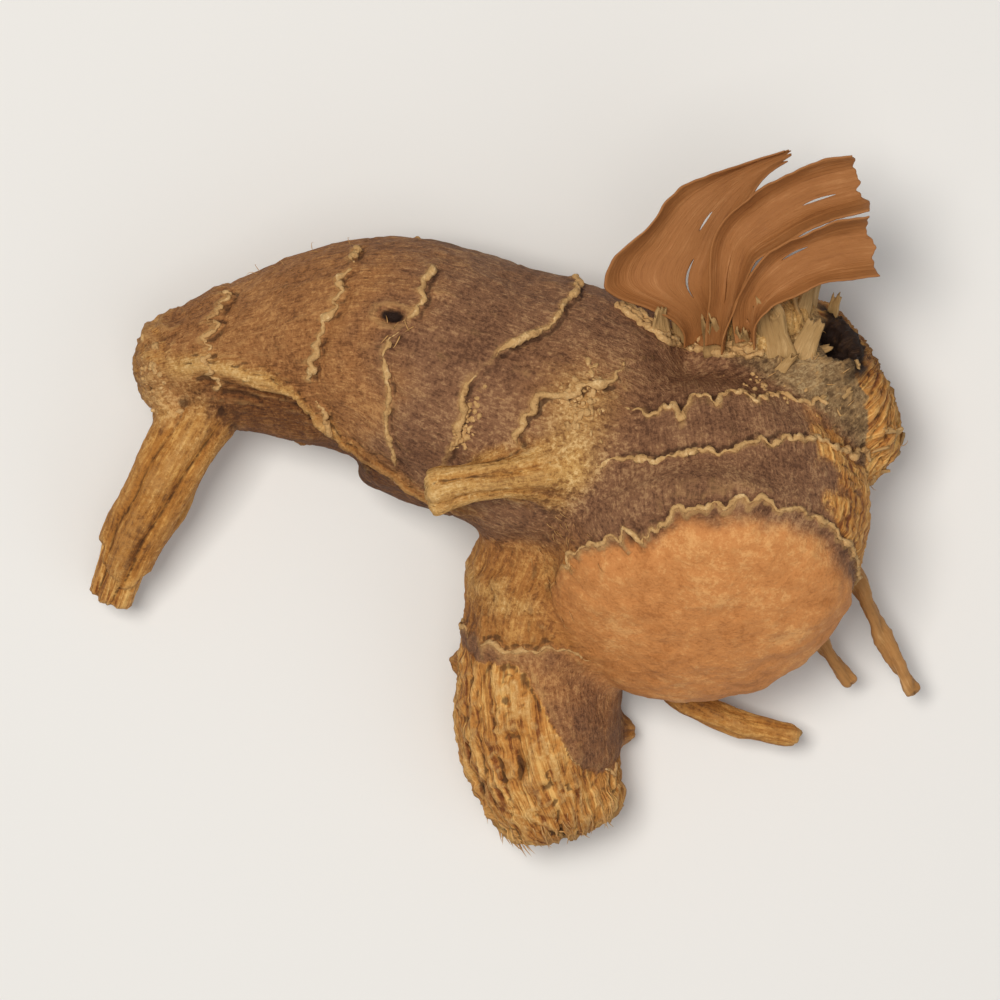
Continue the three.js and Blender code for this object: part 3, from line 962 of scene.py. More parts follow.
class Finishes:
    """Every finish, made once."""

    def __init__(self) -> None:
        """Builds the materials."""
        self.bark = Bark().material()
        self.lip = ScarLip().material()
        self.cork = Fibrous(
            "root_cork", ((0.17, 0.07, 0.02), (0.42, 0.2, 0.06), (0.66, 0.38, 0.15))
        ).material()
        self.hair = Fibrous(
            "dry_fibre", ((0.32, 0.15, 0.045), (0.55, 0.3, 0.105), (0.76, 0.48, 0.2)),
            (1.5, 0.3, 0.3), 0.00005,
        ).material()
        self.stump = Fibrous(
            "stem_stump", ((0.2, 0.105, 0.038), (0.42, 0.25, 0.095), (0.64, 0.42, 0.19)),
            (2.2, 0.26, 0.26), 0.0003,
        ).material()
        self.sheath = Fibrous(
            "dry_sheath", ((0.235, 0.084, 0.022), (0.35, 0.14, 0.041), (0.51, 0.24, 0.09)),
            (9.0, 0.3, 0.3), 0.0002, 0.55, 0.25,
        ).material()


# ---- Making pieces ----


class Slot(Enum):
    """The record's slots that the finishes belong to."""

    BARK = "bark"
    ROOT_CORK = "root_cork"
    SCAR_LIP = "scar_lip"
    SHEATH = "sheath"


def placement() -> Matrix:
    """From millimetres in the root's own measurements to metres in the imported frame."""
    low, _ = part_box("rhizome")
    return Matrix.Translation(low - LOW_CORNER * MM) @ Matrix.Scale(MM, 4)


def spots_of(mesh: bpy.types.Mesh) -> Points:
    """The places of a mesh's vertices."""
    flat = np.empty(len(mesh.vertices) * 3)
    mesh.vertices.foreach_get("co", flat)
    return flat.reshape(-1, 3)


def normals_of(mesh: bpy.types.Mesh) -> Points:
    """The vertex normals of a mesh."""
    flat = np.empty(len(mesh.vertices) * 3)
    mesh.vertex_normals.foreach_get("vector", flat)
    return flat.reshape(-1, 3)


def move_to(mesh: bpy.types.Mesh, spots: Points) -> None:
    """Moves a mesh's vertices."""
    mesh.vertices.foreach_set("co", spots.ravel())
    mesh.update()


def mesh_of(shape: bmesh.types.BMesh, name: str) -> bpy.types.Mesh:
    """A mesh from a shape, with its normals outwards; the shape is used up.

    Args:
        shape: The shape.
        name: The mesh's name.

    Returns:
        The mesh.
    """
    bmesh.ops.recalc_face_normals(shape, faces=shape.faces)
    mesh = bpy.data.meshes.new(name)
    shape.to_mesh(mesh)
    shape.free()
    return mesh


def set_numbers(mesh: bpy.types.Mesh, name: str, values: Numbers) -> None:
    """Keeps a number or a vector for each vertex under a name that materials read."""
    kind, key = ("FLOAT_VECTOR", "vector") if values.ndim == 2 else ("FLOAT", "value")
    mesh.attributes.new(name, kind, "POINT").data.foreach_set(key, values.ravel())


def finish_piece(
    name: str, mesh: bpy.types.Mesh, material: bpy.types.Material, stands_for: str = "",
) -> bpy.types.Object:
    """Puts a piece into the scene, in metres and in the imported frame.

    Args:
        name: The piece's name.
        mesh: Its mesh, in millimetres.
        material: Its finish.
        stands_for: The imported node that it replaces, or nothing.

    Returns:
        The finished piece.
    """
    mesh.transform(placement())
    mesh.materials.append(material)
    mesh.shade_smooth()
    piece = bpy.data.objects.new(name, mesh)
    bpy.context.scene.collection.objects.link(piece)
    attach(piece, BODY)
    if stands_for:
        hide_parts(stands_for)
    LOG.info("%s: %d faces", name, len(mesh.polygons))
    return piece


def relaxed(mesh: bpy.types.Mesh, spots: Points, strength: Numbers, rounds: int) -> Points:
    """Each vertex drawn towards the middle of its neighbours.

    Args:
        mesh: The mesh that says which vertices are neighbours.
        spots: Their places.
        strength: How far each goes in a round, from 0 to 1.
        rounds: How many times.

    Returns:
        The new places.
    """
    pairs = np.empty(len(mesh.edges) * 2, dtype=np.int64)
    mesh.edges.foreach_get("vertices", pairs)
    first, second = pairs.reshape(-1, 2).T
    count = len(spots)
    share = 1 / np.maximum(np.bincount(first, minlength=count) + np.bincount(second, minlength=count), 1)
    for _ in range(rounds):
        columns = [
            np.bincount(first, spots[second, k], count) + np.bincount(second, spots[first, k], count)
            for k in range(3)
        ]
        middle = np.stack(columns, 1) * share[:, None]
        spots = spots + (middle - spots) * strength[:, None]
    return spots


# ---- The root's skin ----


@dataclass
class Skin:
    """The whole root under one skin: its limbs joined, then worked with scars, wrinkles and tears.

    Lengths are in millimetres.
    """

    anatomy: Anatomy
    voxel: float = 0.285
    pit_radius: float = 2.0
    pit_depth: float = 3.4
    pit_way: tuple[float, float, float] = (-0.15, 0.4, 0.9)
    pit_share: float = 0.86
    places: dict[str, Place] = field(default_factory=dict)
    weights: dict[str, Numbers] = field(default_factory=dict)
    marks: dict[str, Numbers] = field(default_factory=dict)
    tree: BVHTree | None = None

    def build(self, finishes: Finishes) -> bpy.types.Object:
        """Makes the skin and dresses it.

        Args:
            finishes: The materials.

        Returns:
            The finished root.
        """
        mesh = self._joined()
        spots = spots_of(mesh)
        self._locate(spots)
        seam = 1 - np.max(self._belonging, axis=0)
        fold = self.weights["knob"] * bump(self.places["knob"].share - 0.64, 0.14)
        spots = relaxed(mesh, spots, np.clip(0.03 + seam * 1.6 + fold * 0.7, 0, 0.8), 40)
        move_to(mesh, spots)
        self._locate(spots)
        height = self._relief(spots)
        spots = spots + normals_of(mesh) * height[:, None]
        spots[:, 2] = np.maximum(spots[:, 2], 0.0)
        spots = relaxed(mesh, spots, np.full(len(spots), 0.25), 1)
        move_to(mesh, spots)
        # The cavity mark also drives the painted shade that the bark lays into the hollows.
        self.marks["cavity"] = self._cavity(mesh, spots)
        self.marks["sure"] = smoothstep(0.55, 0.85, np.max(self._belonging, axis=0))
        self.marks["grain"] = self._grain()
        for name, values in self.marks.items():
            set_numbers(mesh, name, values)
        corners = [tuple(p.vertices) for p in mesh.polygons]
        self.tree = BVHTree.FromPolygons([Vector(s) for s in spots], corners)
        return finish_piece("rhizome_skin", mesh, finishes.bark, "rhizome")

    def _joined(self) -> bpy.types.Mesh:
        """The limbs as one closed mesh of even faces, with the pit cut into the shoulder."""
        shape = bmesh.new()
        for limb in self.anatomy.skinned:
            limb.shell(shape, 0.7)
        body = bpy.data.objects.new("limbs", mesh_of(shape, "limbs"))
        pit = bpy.data.objects.new("pit", self._pit())
        for thing in (body, pit):
            bpy.context.scene.collection.objects.link(thing)
        even = {"mode": "VOXEL", "voxel_size": self.voxel}
        steps = (("REMESH", even), ("BOOLEAN", {"operation": "DIFFERENCE", "object": pit}), ("REMESH", even))
        for kind, settings in steps:
            step = body.modifiers.new(kind.lower(), kind)
            for key, value in settings.items():
                setattr(step, key, value)
        worked = body.evaluated_get(bpy.context.evaluated_depsgraph_get())
        mesh = bpy.data.meshes.new_from_object(worked)
        for thing in (body, pit):
            bpy.data.meshes.remove(thing.data)
        return mesh

    def _pit(self) -> bpy.types.Mesh:
        """The lost stem, as the ball that its pit is cut with."""
        shoulder = self.anatomy.shoulder
        way = Vector(self.pit_way).normalized()
        shape = bmesh.new()
        made = bmesh.ops.create_icosphere(shape, subdivisions=4, radius=1)
        spots = np.array([v.co for v in made["verts"]])
        rough = 1 + 0.3 * layered(spots * 1.9, 3, 5)
        for vert, factor in zip(made["verts"], rough):
            vert.co = vert.co * factor
        bmesh.ops.scale(shape, vec=(self.pit_radius, self.pit_radius, self.pit_depth), verts=made["verts"])
        turn = Vector((0, 0, 1)).rotation_difference(way).to_matrix()
        bmesh.ops.rotate(shape, cent=(0, 0, 0), matrix=turn, verts=made["verts"])
        bmesh.ops.translate(shape, vec=Vector(shoulder.in_flesh(self.pit_share, way, 0)), verts=made["verts"])
        return mesh_of(shape, "pit")

    def _locate(self, spots: Points) -> None:
        """Finds each vertex's place on every limb, and how much it belongs to each.

        Args:
            spots: The vertices.
        """
        self.places = {limb.name: limb.locate(spots) for limb in self.anatomy.skinned}
        heights = np.stack([place.height for place in self.places.values()])
        closeness = np.exp(-(heights - heights.min(axis=0)) / 0.9)
        closeness /= closeness.sum(axis=0)
        self.weights = dict(zip(self.places, closeness))

    @property
    def _belonging(self) -> Points:
        """How much each vertex belongs to each limb, with a row for each limb."""
        return np.stack(list(self.weights.values()))

    def _past(self, limb: Limb, scar: Scar, detail: float = 1.0) -> Numbers:
        """How far each vertex lies past a scar over the skin, up to 5 either way.

        Args:
            limb: The limb.
            scar: One of its scars.
            detail: How much of the scallops to keep.

        Returns:
            The distances, below 0 before the scar.
        """
        place = self.places[limb.name]
        ahead = (place.share - scar.share_at(limb, place.angle, detail)) * limb.route.length
        line = scar.line(limb, detail)
        tree = KDTree(len(line))
        for number, spot in enumerate(line):
            tree.insert(spot, number)
        tree.balance()
        near = np.flatnonzero((np.abs(ahead) < 7) & (self.weights[limb.name] > 0.03))
        far = np.full(len(ahead), 5.0)
        far[near] = [min(tree.find(spot)[2], 5.0) for spot in place.foot[near]]
        return np.copysign(far, ahead)

    def _grain(self) -> Points:
        """The way of the grain, as lengths along and round the limb that each vertex belongs to."""
        owner = np.argmax(self._belonging, axis=0)
        rows = np.stack([np.column_stack([p.along, p.round_xy]) for p in self.places.values()])
        return rows[owner, np.arange(len(owner))] + owner[:, None] * 17.0

    def _cavity(self, mesh: bpy.types.Mesh, spots: Points) -> Numbers:
        """How hollow the skin is at each vertex: above 0 in a dip and below 0 on a crest.

        Args:
            mesh: The skin.
            spots: Its vertices.

        Returns:
            A number for each.
        """
        even = np.full(len(spots), 0.7)
        near = relaxed(mesh, spots, even, 3)
        far = relaxed(mesh, near, even, 12)
        out = normals_of(mesh)
        return ((near - spots) * out).sum(1) / 0.05 * 0.5 + ((far - spots) * out).sum(1) / 0.2 * 0.5

    # -- Relief --

    def _relief(self, spots: Points) -> Numbers:
        """How far each vertex goes out from the plain limbs, and what the materials need to know.

        Args:
            spots: The vertices.

        Returns:
            The heights.
        """
        count = len(spots)
        for name in ("tan", "moss", "flank", "flesh", "cork", "torn", "pale", "recess_shade", "scar_lip"):
            self.marks[name] = np.zeros(count)
        self.marks["scar_gap"] = np.full(count, 9.0)
        height = 0.3 * noise(spots / 7, 1) + 0.16 * noise(spots / 2.4, 2) + 0.06 * noise(spots / 0.9, 3)
        height += self._scars()
        for work in (self._arm, self._knob, self._shoulder, self._branch, self._stem_base, self._root_relief):
            height += work(spots)
        # Painted shade down the lost stem's pit.
        self.marks["recess_shade"] += self._in_pit(spots)
        return height + self._wrinkles(spots) * (1 - self.marks["flesh"]) * (1 - self.marks["torn"])

    def _in_pit(self, spots: Points) -> Numbers:
        """How far down the lost stem's pit each vertex lies, from 0 at its mouth to 1.

        Args:
            spots: The vertices.

        Returns:
            A number for each.
        """
        way = unit(np.array(self.pit_way))
        gap = spots - self.anatomy.shoulder.in_flesh(self.pit_share, way, 0)
        near = smoothstep(self.pit_depth * 1.35, self.pit_depth, np.linalg.norm(gap, axis=1))
        return near * smoothstep(0.0, -2.0, gap @ way) * 0.85

    def _wrinkles(self, spots: Points) -> Numbers:
        """Fine ridges along the limbs, where the root shrank as it dried.

        Args:
            spots: The vertices.

        Returns:
            How far each goes out.
        """
        total = 0.0
        warp = 0.35 * noise(spots / 1.6, 13)[:, None]
        for limb, depth in (("arm", 1.0), ("knob", 0.5), ("shoulder", 0.6), ("branch", 0.9)):
            place = self.places[limb]
            fine = np.column_stack([place.along / 3.6, place.round_xy / 0.7]) + warp
            broad = np.column_stack([place.along / 8, place.round_xy / 2.4]) + warp
            ridges = 0.13 * (creased(fine, 2, 11) - 0.5) + 0.17 * (creased(broad, 2, 12) - 0.5)
            total = total + self.weights[limb] * ridges * depth
        return total

    def _scars(self) -> Numbers:
        """The steps and the low crests at the leaf scars."""
        total = np.zeros(len(self.marks["tan"]))
        for limb in self.anatomy.skinned:
            place, weight = self.places[limb.name], self.weights[limb.name]
            for scar in limb.scars:
                gap = self._past(limb, scar)
                standing = scar.standing(limb, place.angle)
                step = scar.step * smoothstep(-0.25, 0.1, gap) * np.exp(-np.maximum(gap, 0) / 2.6)
                crest = 0.35 * scar.lip * bump(gap - 0.1, 0.26) - 0.26 * bump(gap + 0.4, 0.28)
                total += weight * np.clip(step + crest * np.clip(standing, 0, 1), -0.6, 0.9)
                held = np.where(weight > 0.4, gap, 9.0)
                nearer = np.abs(held) < np.abs(self.marks["scar_gap"])
                self.marks["scar_gap"] = np.where(nearer, np.abs(held), self.marks["scar_gap"])
                self.marks["scar_lip"] = np.where(nearer, standing, self.marks["scar_lip"])
        return total

    def _arm(self, spots: Points) -> Numbers:
        """The split edge along the arm's lower flank, the crusts over the stub root, and the warty tip.

        Args:
            spots: The vertices.

        Returns:
            How far each goes out.
        """
        arm, place, weight = self.anatomy.arm, self.places["arm"], self.weights["arm"]
        share, degrees = place.share, np.degrees(place.angle)
        self.marks["tan"] += weight * smoothstep(0.36, 0.72, share)
        shares = (0.3, 0.365, 0.42, 0.49, 0.6, 0.66, 0.7, 0.77, 0.87, 0.95)
        edge = np.interp(share, shares, (64, 67, 65, 61, 69, 55, 33, 26, 11, 8)) + 4 * noise(spots / 2.2, 15)
        below = np.radians(degrees - edge) * arm.girth_at(share)
        present = weight * smoothstep(0.26, 0.36, share) * smoothstep(0.96, 0.88, share)
        present = present * (np.abs(degrees) < 150)
        broken = smoothstep(-0.25, 0.25, noise(np.column_stack([share * 14, share * 0, share * 0]), 16))
        ridge = 0.5 * bump(below + 0.45, 0.5) * (0.75 + 0.4 * noise(spots / 0.9, 17))
        crack = 1.05 * bump(below - 0.45, 0.34) * broken + 0.5 * bump(below - 1.7, 0.3) * (1 - broken)
        under = 0.45 * smoothstep(0.2, 0.9, below) * smoothstep(7, 3, below)
        wavy = below + 0.35 * noise(np.column_stack([place.along / 4, place.along * 0, place.along * 0]), 14)
        ridge += 0.16 * np.cos(wavy * TAU / 0.62) * bump(below + 0.7, 1.5)
        # The flank mark: the underside below the split edge, which the bark paints darker as shade.
        self.marks["flank"] += present * smoothstep(0.1, 0.9, below)
        self.marks["cork"] += present * bump(below + 0.6, 0.9) * 0.7
        self.marks["pale"] += present * bump(below + 0.7, 0.8) * smoothstep(0.5, 0.75, share) * 0.6
        knot = np.hypot((share - 0.546) * arm.route.length, np.radians(degrees + 15.3) * arm.radius)
        # Painted shade in the knot hole.
        self.marks["recess_shade"] += weight * smoothstep(0.75, 0.35, knot)
        dimple = weight * (0.3 * bump(knot - 0.95, 0.3) - 0.7 * bump(knot, 0.5))
        tip = weight * smoothstep(0.84, 0.97, share)
        warts = tip * 0.95 * (creased(spots / 1.8, 3, 18) - 0.4)
        self.marks["torn"] += tip * 0.6 * smoothstep(0.4, 0.7, creased(spots / 2.0, 3, 18))
        crust = weight * bump((share - 0.2) * 43, 3.4) * bump((degrees + 8) / 16, 1.2)
        lumps = crust * (creased(spots / 0.75, 3, 19) - 0.35)
        self.marks["cork"] += crust * 0.35
        self.marks["pale"] += crust * 0.35 + tip * 0.3
        return present * (ridge - crack - under) + warts + 0.45 * lumps + dimple

    def _knob(self, spots: Points) -> Numbers:
        """The bare dome under its rim, the rough flank on the knob's left, and its torn right edge.

        Args:
            spots: The vertices.

        Returns:
            How far each goes out.
        """
        knob, place, weight = self.anatomy.knob, self.places["knob"], self.weights["knob"]
        rim = knob.scars[-1]
        past, deep = self._past(knob, rim), self._past(knob, rim, 0.0)
        degrees = np.degrees(place.angle)
        left = smoothstep(-138, -165, degrees) + smoothstep(120, 150, degrees)
        bare = weight * smoothstep(0.0, 0.3, past)
        ground = 0.5 * noise(spots / 1.6, 21) + 0.25 * noise(spots / 0.6, 27)
        early = 0.9 * smoothstep(-72, -104, degrees)
        self.marks["flesh"] += bare * smoothstep(0.5, 2.1, deep + ground + early + left * 1.4)
        inset = bare * (0.3 * smoothstep(3.2, 0.9, deep) - 0.15 * bump(deep - 2.2, 0.8)) * (1 - left)
        swell = bare * (0.16 * noise(spots / 1.9, 22) + 0.08 * noise(spots / 0.6, 23))
        rough = weight * left * smoothstep(0.3, 0.5, place.share) * smoothstep(1.0, 0.86, place.share)
        rough = rough * (1 - 0.8 * bare)
        lumps = rough * 0.8 * (creased(spots * (0.6, 0.33, 0.33), 3, 24) - 0.5)
        self.marks["tan"] += rough * 0.9
        self.marks["moss"] += rough * 0.15
        self.marks["cork"] += rough * 0.6
        right = weight * smoothstep(-54, -34, degrees + 10 * noise(spots / 2, 25))
        right = right * smoothstep(75, 40, degrees)
        right = right * smoothstep(0.1, 0.25, place.share) * (1 - smoothstep(-0.6, 0, past))
        shreds = creased(np.column_stack([place.along / 0.9, place.round_xy / 2.6]), 3, 26)
        self.marks["torn"] += right * smoothstep(0.25, 0.5, shreds) * 0.9
        self.marks["tan"] += right
        return swell - inset + lumps + right * 0.7 * (shreds - 0.5)

    def _shoulder(self, spots: Points) -> Numbers:
        """The granular back of the shoulder and its torn, fibrous end.

        Args:
            spots: The vertices.

        Returns:
            How far each goes out.
        """
        shoulder, place, weight = self.anatomy.shoulder, self.places["shoulder"], self.weights["shoulder"]
        degrees = np.degrees(place.angle)
        angles = (-180, -77, -53, -23, 5, 34, 80, 180)
        edge = np.interp(degrees, angles, (0.6, 0.6, 0.74, 0.85, 0.9, 0.88, 0.84, 0.72))
        past = (place.share - edge) * shoulder.route.length + 0.7 * noise(spots / 1.1, 31)
        torn = weight * smoothstep(-0.2, 0.5, past)
        along = np.column_stack([place.along / 4.5, place.round_xy / 1.1])
        self.marks["torn"] += torn
        self.marks["moss"] += weight * smoothstep(0.3, 0.7, place.share) * 0.95
        grains = weight * smoothstep(0.35, 0.6, place.share) * 0.5 * (creased(spots / 0.75, 2, 33) - 0.5)
        return torn * 0.9 * (creased(along, 3, 32) - 0.5) + grains

    def _branch(self, spots: Points) -> Numbers:
        """The rough neck of the branch, and the coarse fibres of its frayed end.

        Args:
            spots: The vertices.

        Returns:
            How far each goes out.
        """
        branch, place, weight = self.anatomy.branch, self.places["branch"], self.weights["branch"]
        length = branch.route.length
        past = (place.share - branch.scars[1].share_at(branch, place.angle)) * length
        frayed = weight * smoothstep(-0.2, 0.5, past)
        slant = place.angle + place.along * 0.035
        round_xy = np.stack([np.cos(slant), np.sin(slant)], -1) * branch.radius
        bends = [noise(spots / 2.2, 42), noise(spots / 2.2, 49), noise(spots / 0.9, 50) * 0.5]
        warp = np.stack(bends, -1) * 0.75
        along = np.column_stack([place.along / 8, round_xy / 1.9]) + warp
        furrows = creased(along, 3, 41)
        fine = creased(np.column_stack([place.along / 2.6, round_xy / 0.55]) + warp, 2, 46)
        cells = np.column_stack([place.along / 4.6, round_xy / 0.8]) + warp * 0.5
        holes = smoothstep(0.1, 0.5, noise(cells, 43))
        holes = holes * smoothstep(0.66, 0.8, place.share) * smoothstep(20, -14, np.degrees(place.angle))
        self.marks["torn"] += frayed
        short = (branch.scars[0].share_at(branch, place.angle) - place.share) * length
        neck = weight * smoothstep(0.0, 0.6, short)
        self.marks["tan"] += neck * 1.1 + frayed
        self.marks["moss"] += neck * 0.2
        self.marks["cork"] += neck * 0.6
        band = bump((place.share - 0.3) * length + noise(spots / 2, 47), 1.1)
        self.marks["pale"] += neck * 0.5 * band + frayed * 0.45 * smoothstep(0.45, 0.8, furrows)
        self.marks["tan"] += weight * (1 - frayed) * 0.52
        # Painted shade in the deep holes of the frayed end.
        self.marks["recess_shade"] += frayed * holes * 0.65
        wool = 0.5 * (creased(spots * (0.62, 0.4, 0.4), 3, 45) - 0.5) + 0.12 * noise(spots / 0.6, 48)
        woolly = neck * wool
        ragged = weight * smoothstep(0.86, 1.0, place.share) * 0.5 * (creased(spots / 1.1, 3, 44) - 0.5)
        strands = frayed * (1.0 * (furrows - 0.5) + 0.1 * (fine - 0.5) - 0.8 * holes)
        return strands + ragged + woolly + 0.3 * neck * band

    def _stem_base(self, spots: Points) -> Numbers:
        """The ribs of the old stem's stump.

        Args:
            spots: The vertices.

        Returns:
            How far each goes out.
        """
        place, weight = self.places["stem_base"], self.weights["stem_base"]
        ribs = np.column_stack([place.along / 6, place.round_xy / 0.7])
        self.marks["moss"] += weight * 0.7
        self.marks["pale"] += weight * smoothstep(0.2, 0.6, place.share) * 0.8
        return weight * (0.5 * (creased(ribs, 2, 51) - 0.5) + 0.3 * noise(spots / 1.4, 52))

    def _root_relief(self, spots: Points) -> Numbers:
        """The furrows of the roots, the torn skin near the strap root's end, and the broken tips.

        Args:
            spots: The vertices.

        Returns:
            How far each goes out.
        """
        total = np.zeros(len(spots))
        for limb in self.anatomy.skinned:
            if not limb.is_root or limb.name == "stem_base":
                continue
            place, weight = self.places[limb.name], self.weights[limb.name]
            swing = 0.9 * noise(np.column_stack([place.along / 5, place.round_xy / 6]), 61)
            count = 6 if limb.radius > 1.2 else 3
            furrow = np.abs(np.cos(place.angle * count / 2 + swing * 2)) ** 0.6
            fine = creased(np.column_stack([place.along / 4, place.round_xy / 0.45]), 2, 62)
            total += weight * (0.1 + limb.radius * 0.17) * (furrow - 0.6) + weight * 0.12 * (fine - 0.5)
            self.marks["cork"] += smoothstep(0.2, 0.95, weight + 0.2 * noise(spots / 1.1, 65))
            tip = weight * smoothstep(0.93, 1.0, place.share)
            total += tip * 0.35 * layered(spots / 0.6, 2, 63)
            self.marks["pale"] += tip * 0.4 + weight * 0.2 * smoothstep(0.6, 0.95, furrow)
        stub = self.places["stub_root"]
        weight = self.weights["stub_root"]
        flare = weight * smoothstep(0.5, 0.25, stub.share) * smoothstep(0.0, 0.12, stub.share)
        body = weight * smoothstep(0.1, 0.3, stub.share)
        self.marks["pale"] += flare * 1.3 + body * 0.4
        strap = self.places["strap_root"]
        edge = 0.8 + 0.05 * noise(spots / 1.4, 64) + 0.06 * np.sin(strap.angle * 2 + 1)
        bared = self.weights["strap_root"] * smoothstep(0, 0.02, strap.share - edge)
        self.marks["torn"] += bared * 0.6
        # Painted shade in the crease where the strap root joins the arm.
        joint = bump(self.weights["strap_root"] - 0.5, 0.11) * smoothstep(-0.5, 0.1, noise(spots / 2.6, 66))
        self.marks["recess_shade"] += joint * 0.15
        self.marks["pale"] += self.weights["strap_root"] * smoothstep(0.4, 0.1, strap.share) * 0.35
        return total - 0.42 * bared - 0.3 * joint


# ---- What stands on the skin ----


@dataclass
class Surface:
    """The finished skin, as something to stand other pieces on."""

    skin: Skin

    def from_above(self, x: float, y: float) -> tuple[Vector, Vector]:
        """The highest point of the skin over a spot on the ground, and its normal."""
        spot, normal, _, _ = self.skin.tree.ray_cast(Vector((x, y, OVERHEAD)), Vector((0, 0, -1)))
        return spot, normal

    def under(
        self, limb: Limb, share: float, angle: float, reach: float = 4.0,
    ) -> tuple[Vector, Vector] | None:
        """The skin's point and normal over a place on a limb.

        Args:
            limb: The limb.
            share: How far along it.
            angle: How far round it.
            reach: How far out of the limb to look from.

        Returns:
            The point and the normal, or nothing where another limb hides the place.
        """
        spot, turn = np.array([share]), np.array([angle])
        centre = limb.route.at(spot)[0]
        out = limb.outwards(spot, turn)[0]
        far = float(limb.reach_out(spot, turn)[0]) + reach
        plain = float(limb.skin_at(spot, turn)[0])
        hit, normal, _, distance = self.skin.tree.ray_cast(Vector(centre + out * far), Vector(-out), far)
        if hit is None or abs(far - distance - plain) > 1.6:
            return None
        return hit, normal


def tube_along(
    spots: Points, radii: Numbers, up: Points, sides: int = 6, flat: float = 1.0,
) -> bmesh.types.BMesh:
    """A closed tube through some points, drawn to a point at both ends.

    Args:
        spots: Its centre line.
        radii: Its radius at each point.
        up: Which way its top faces at each point.
        sides: Sides of its section.
        flat: Its height over its width.

    Returns:
        The tube.
    """
    heading = unit(np.gradient(spots, axis=0))
    side = unit(np.cross(heading, up))
    top = np.cross(side, heading)
    shape = bmesh.new()
    steps = len(spots) - 1
    made = bmesh.ops.create_grid(shape, x_segments=steps, y_segments=sides, size=0.5)
    flat_spots = np.array([v.co for v in made["verts"]])
    row = np.rint((flat_spots[:, 0] + 0.5) * steps).astype(int)
    angle = (flat_spots[:, 1] + 0.5) * TAU
    size = np.where((row == 0) | (row == steps), 0.0, radii[row])[:, None]
    out = side[row] * np.cos(angle)[:, None] + top[row] * np.sin(angle)[:, None] * flat
    for vert, spot in zip(made["verts"], spots[row] + out * size):
        vert.co = spot
    bmesh.ops.remove_doubles(shape, verts=made["verts"], dist=1e-5)
    return shape


def gathered(shapes: Sequence[bmesh.types.BMesh], name: str) -> bpy.types.Mesh:
    """Many shapes as one mesh; the shapes are used up.

    Args:
        shapes: The shapes.
        name: The mesh's name.

    Returns:
        The mesh.
    """
    whole = bmesh.new()
    for shape in shapes:
        part = mesh_of(shape, "part")
        whole.from_mesh(part)
        bpy.data.meshes.remove(part)
    mesh = bpy.data.meshes.new(name)
    whole.to_mesh(mesh)
    whole.free()
    return mesh


@dataclass(frozen=True)
class Crumbs:
    """A place where an old lip has crumbled to small lumps."""

    limb: str
    shares: tuple[float, float]
    degrees: tuple[float, float]
    count: int
    size: tuple[float, float]


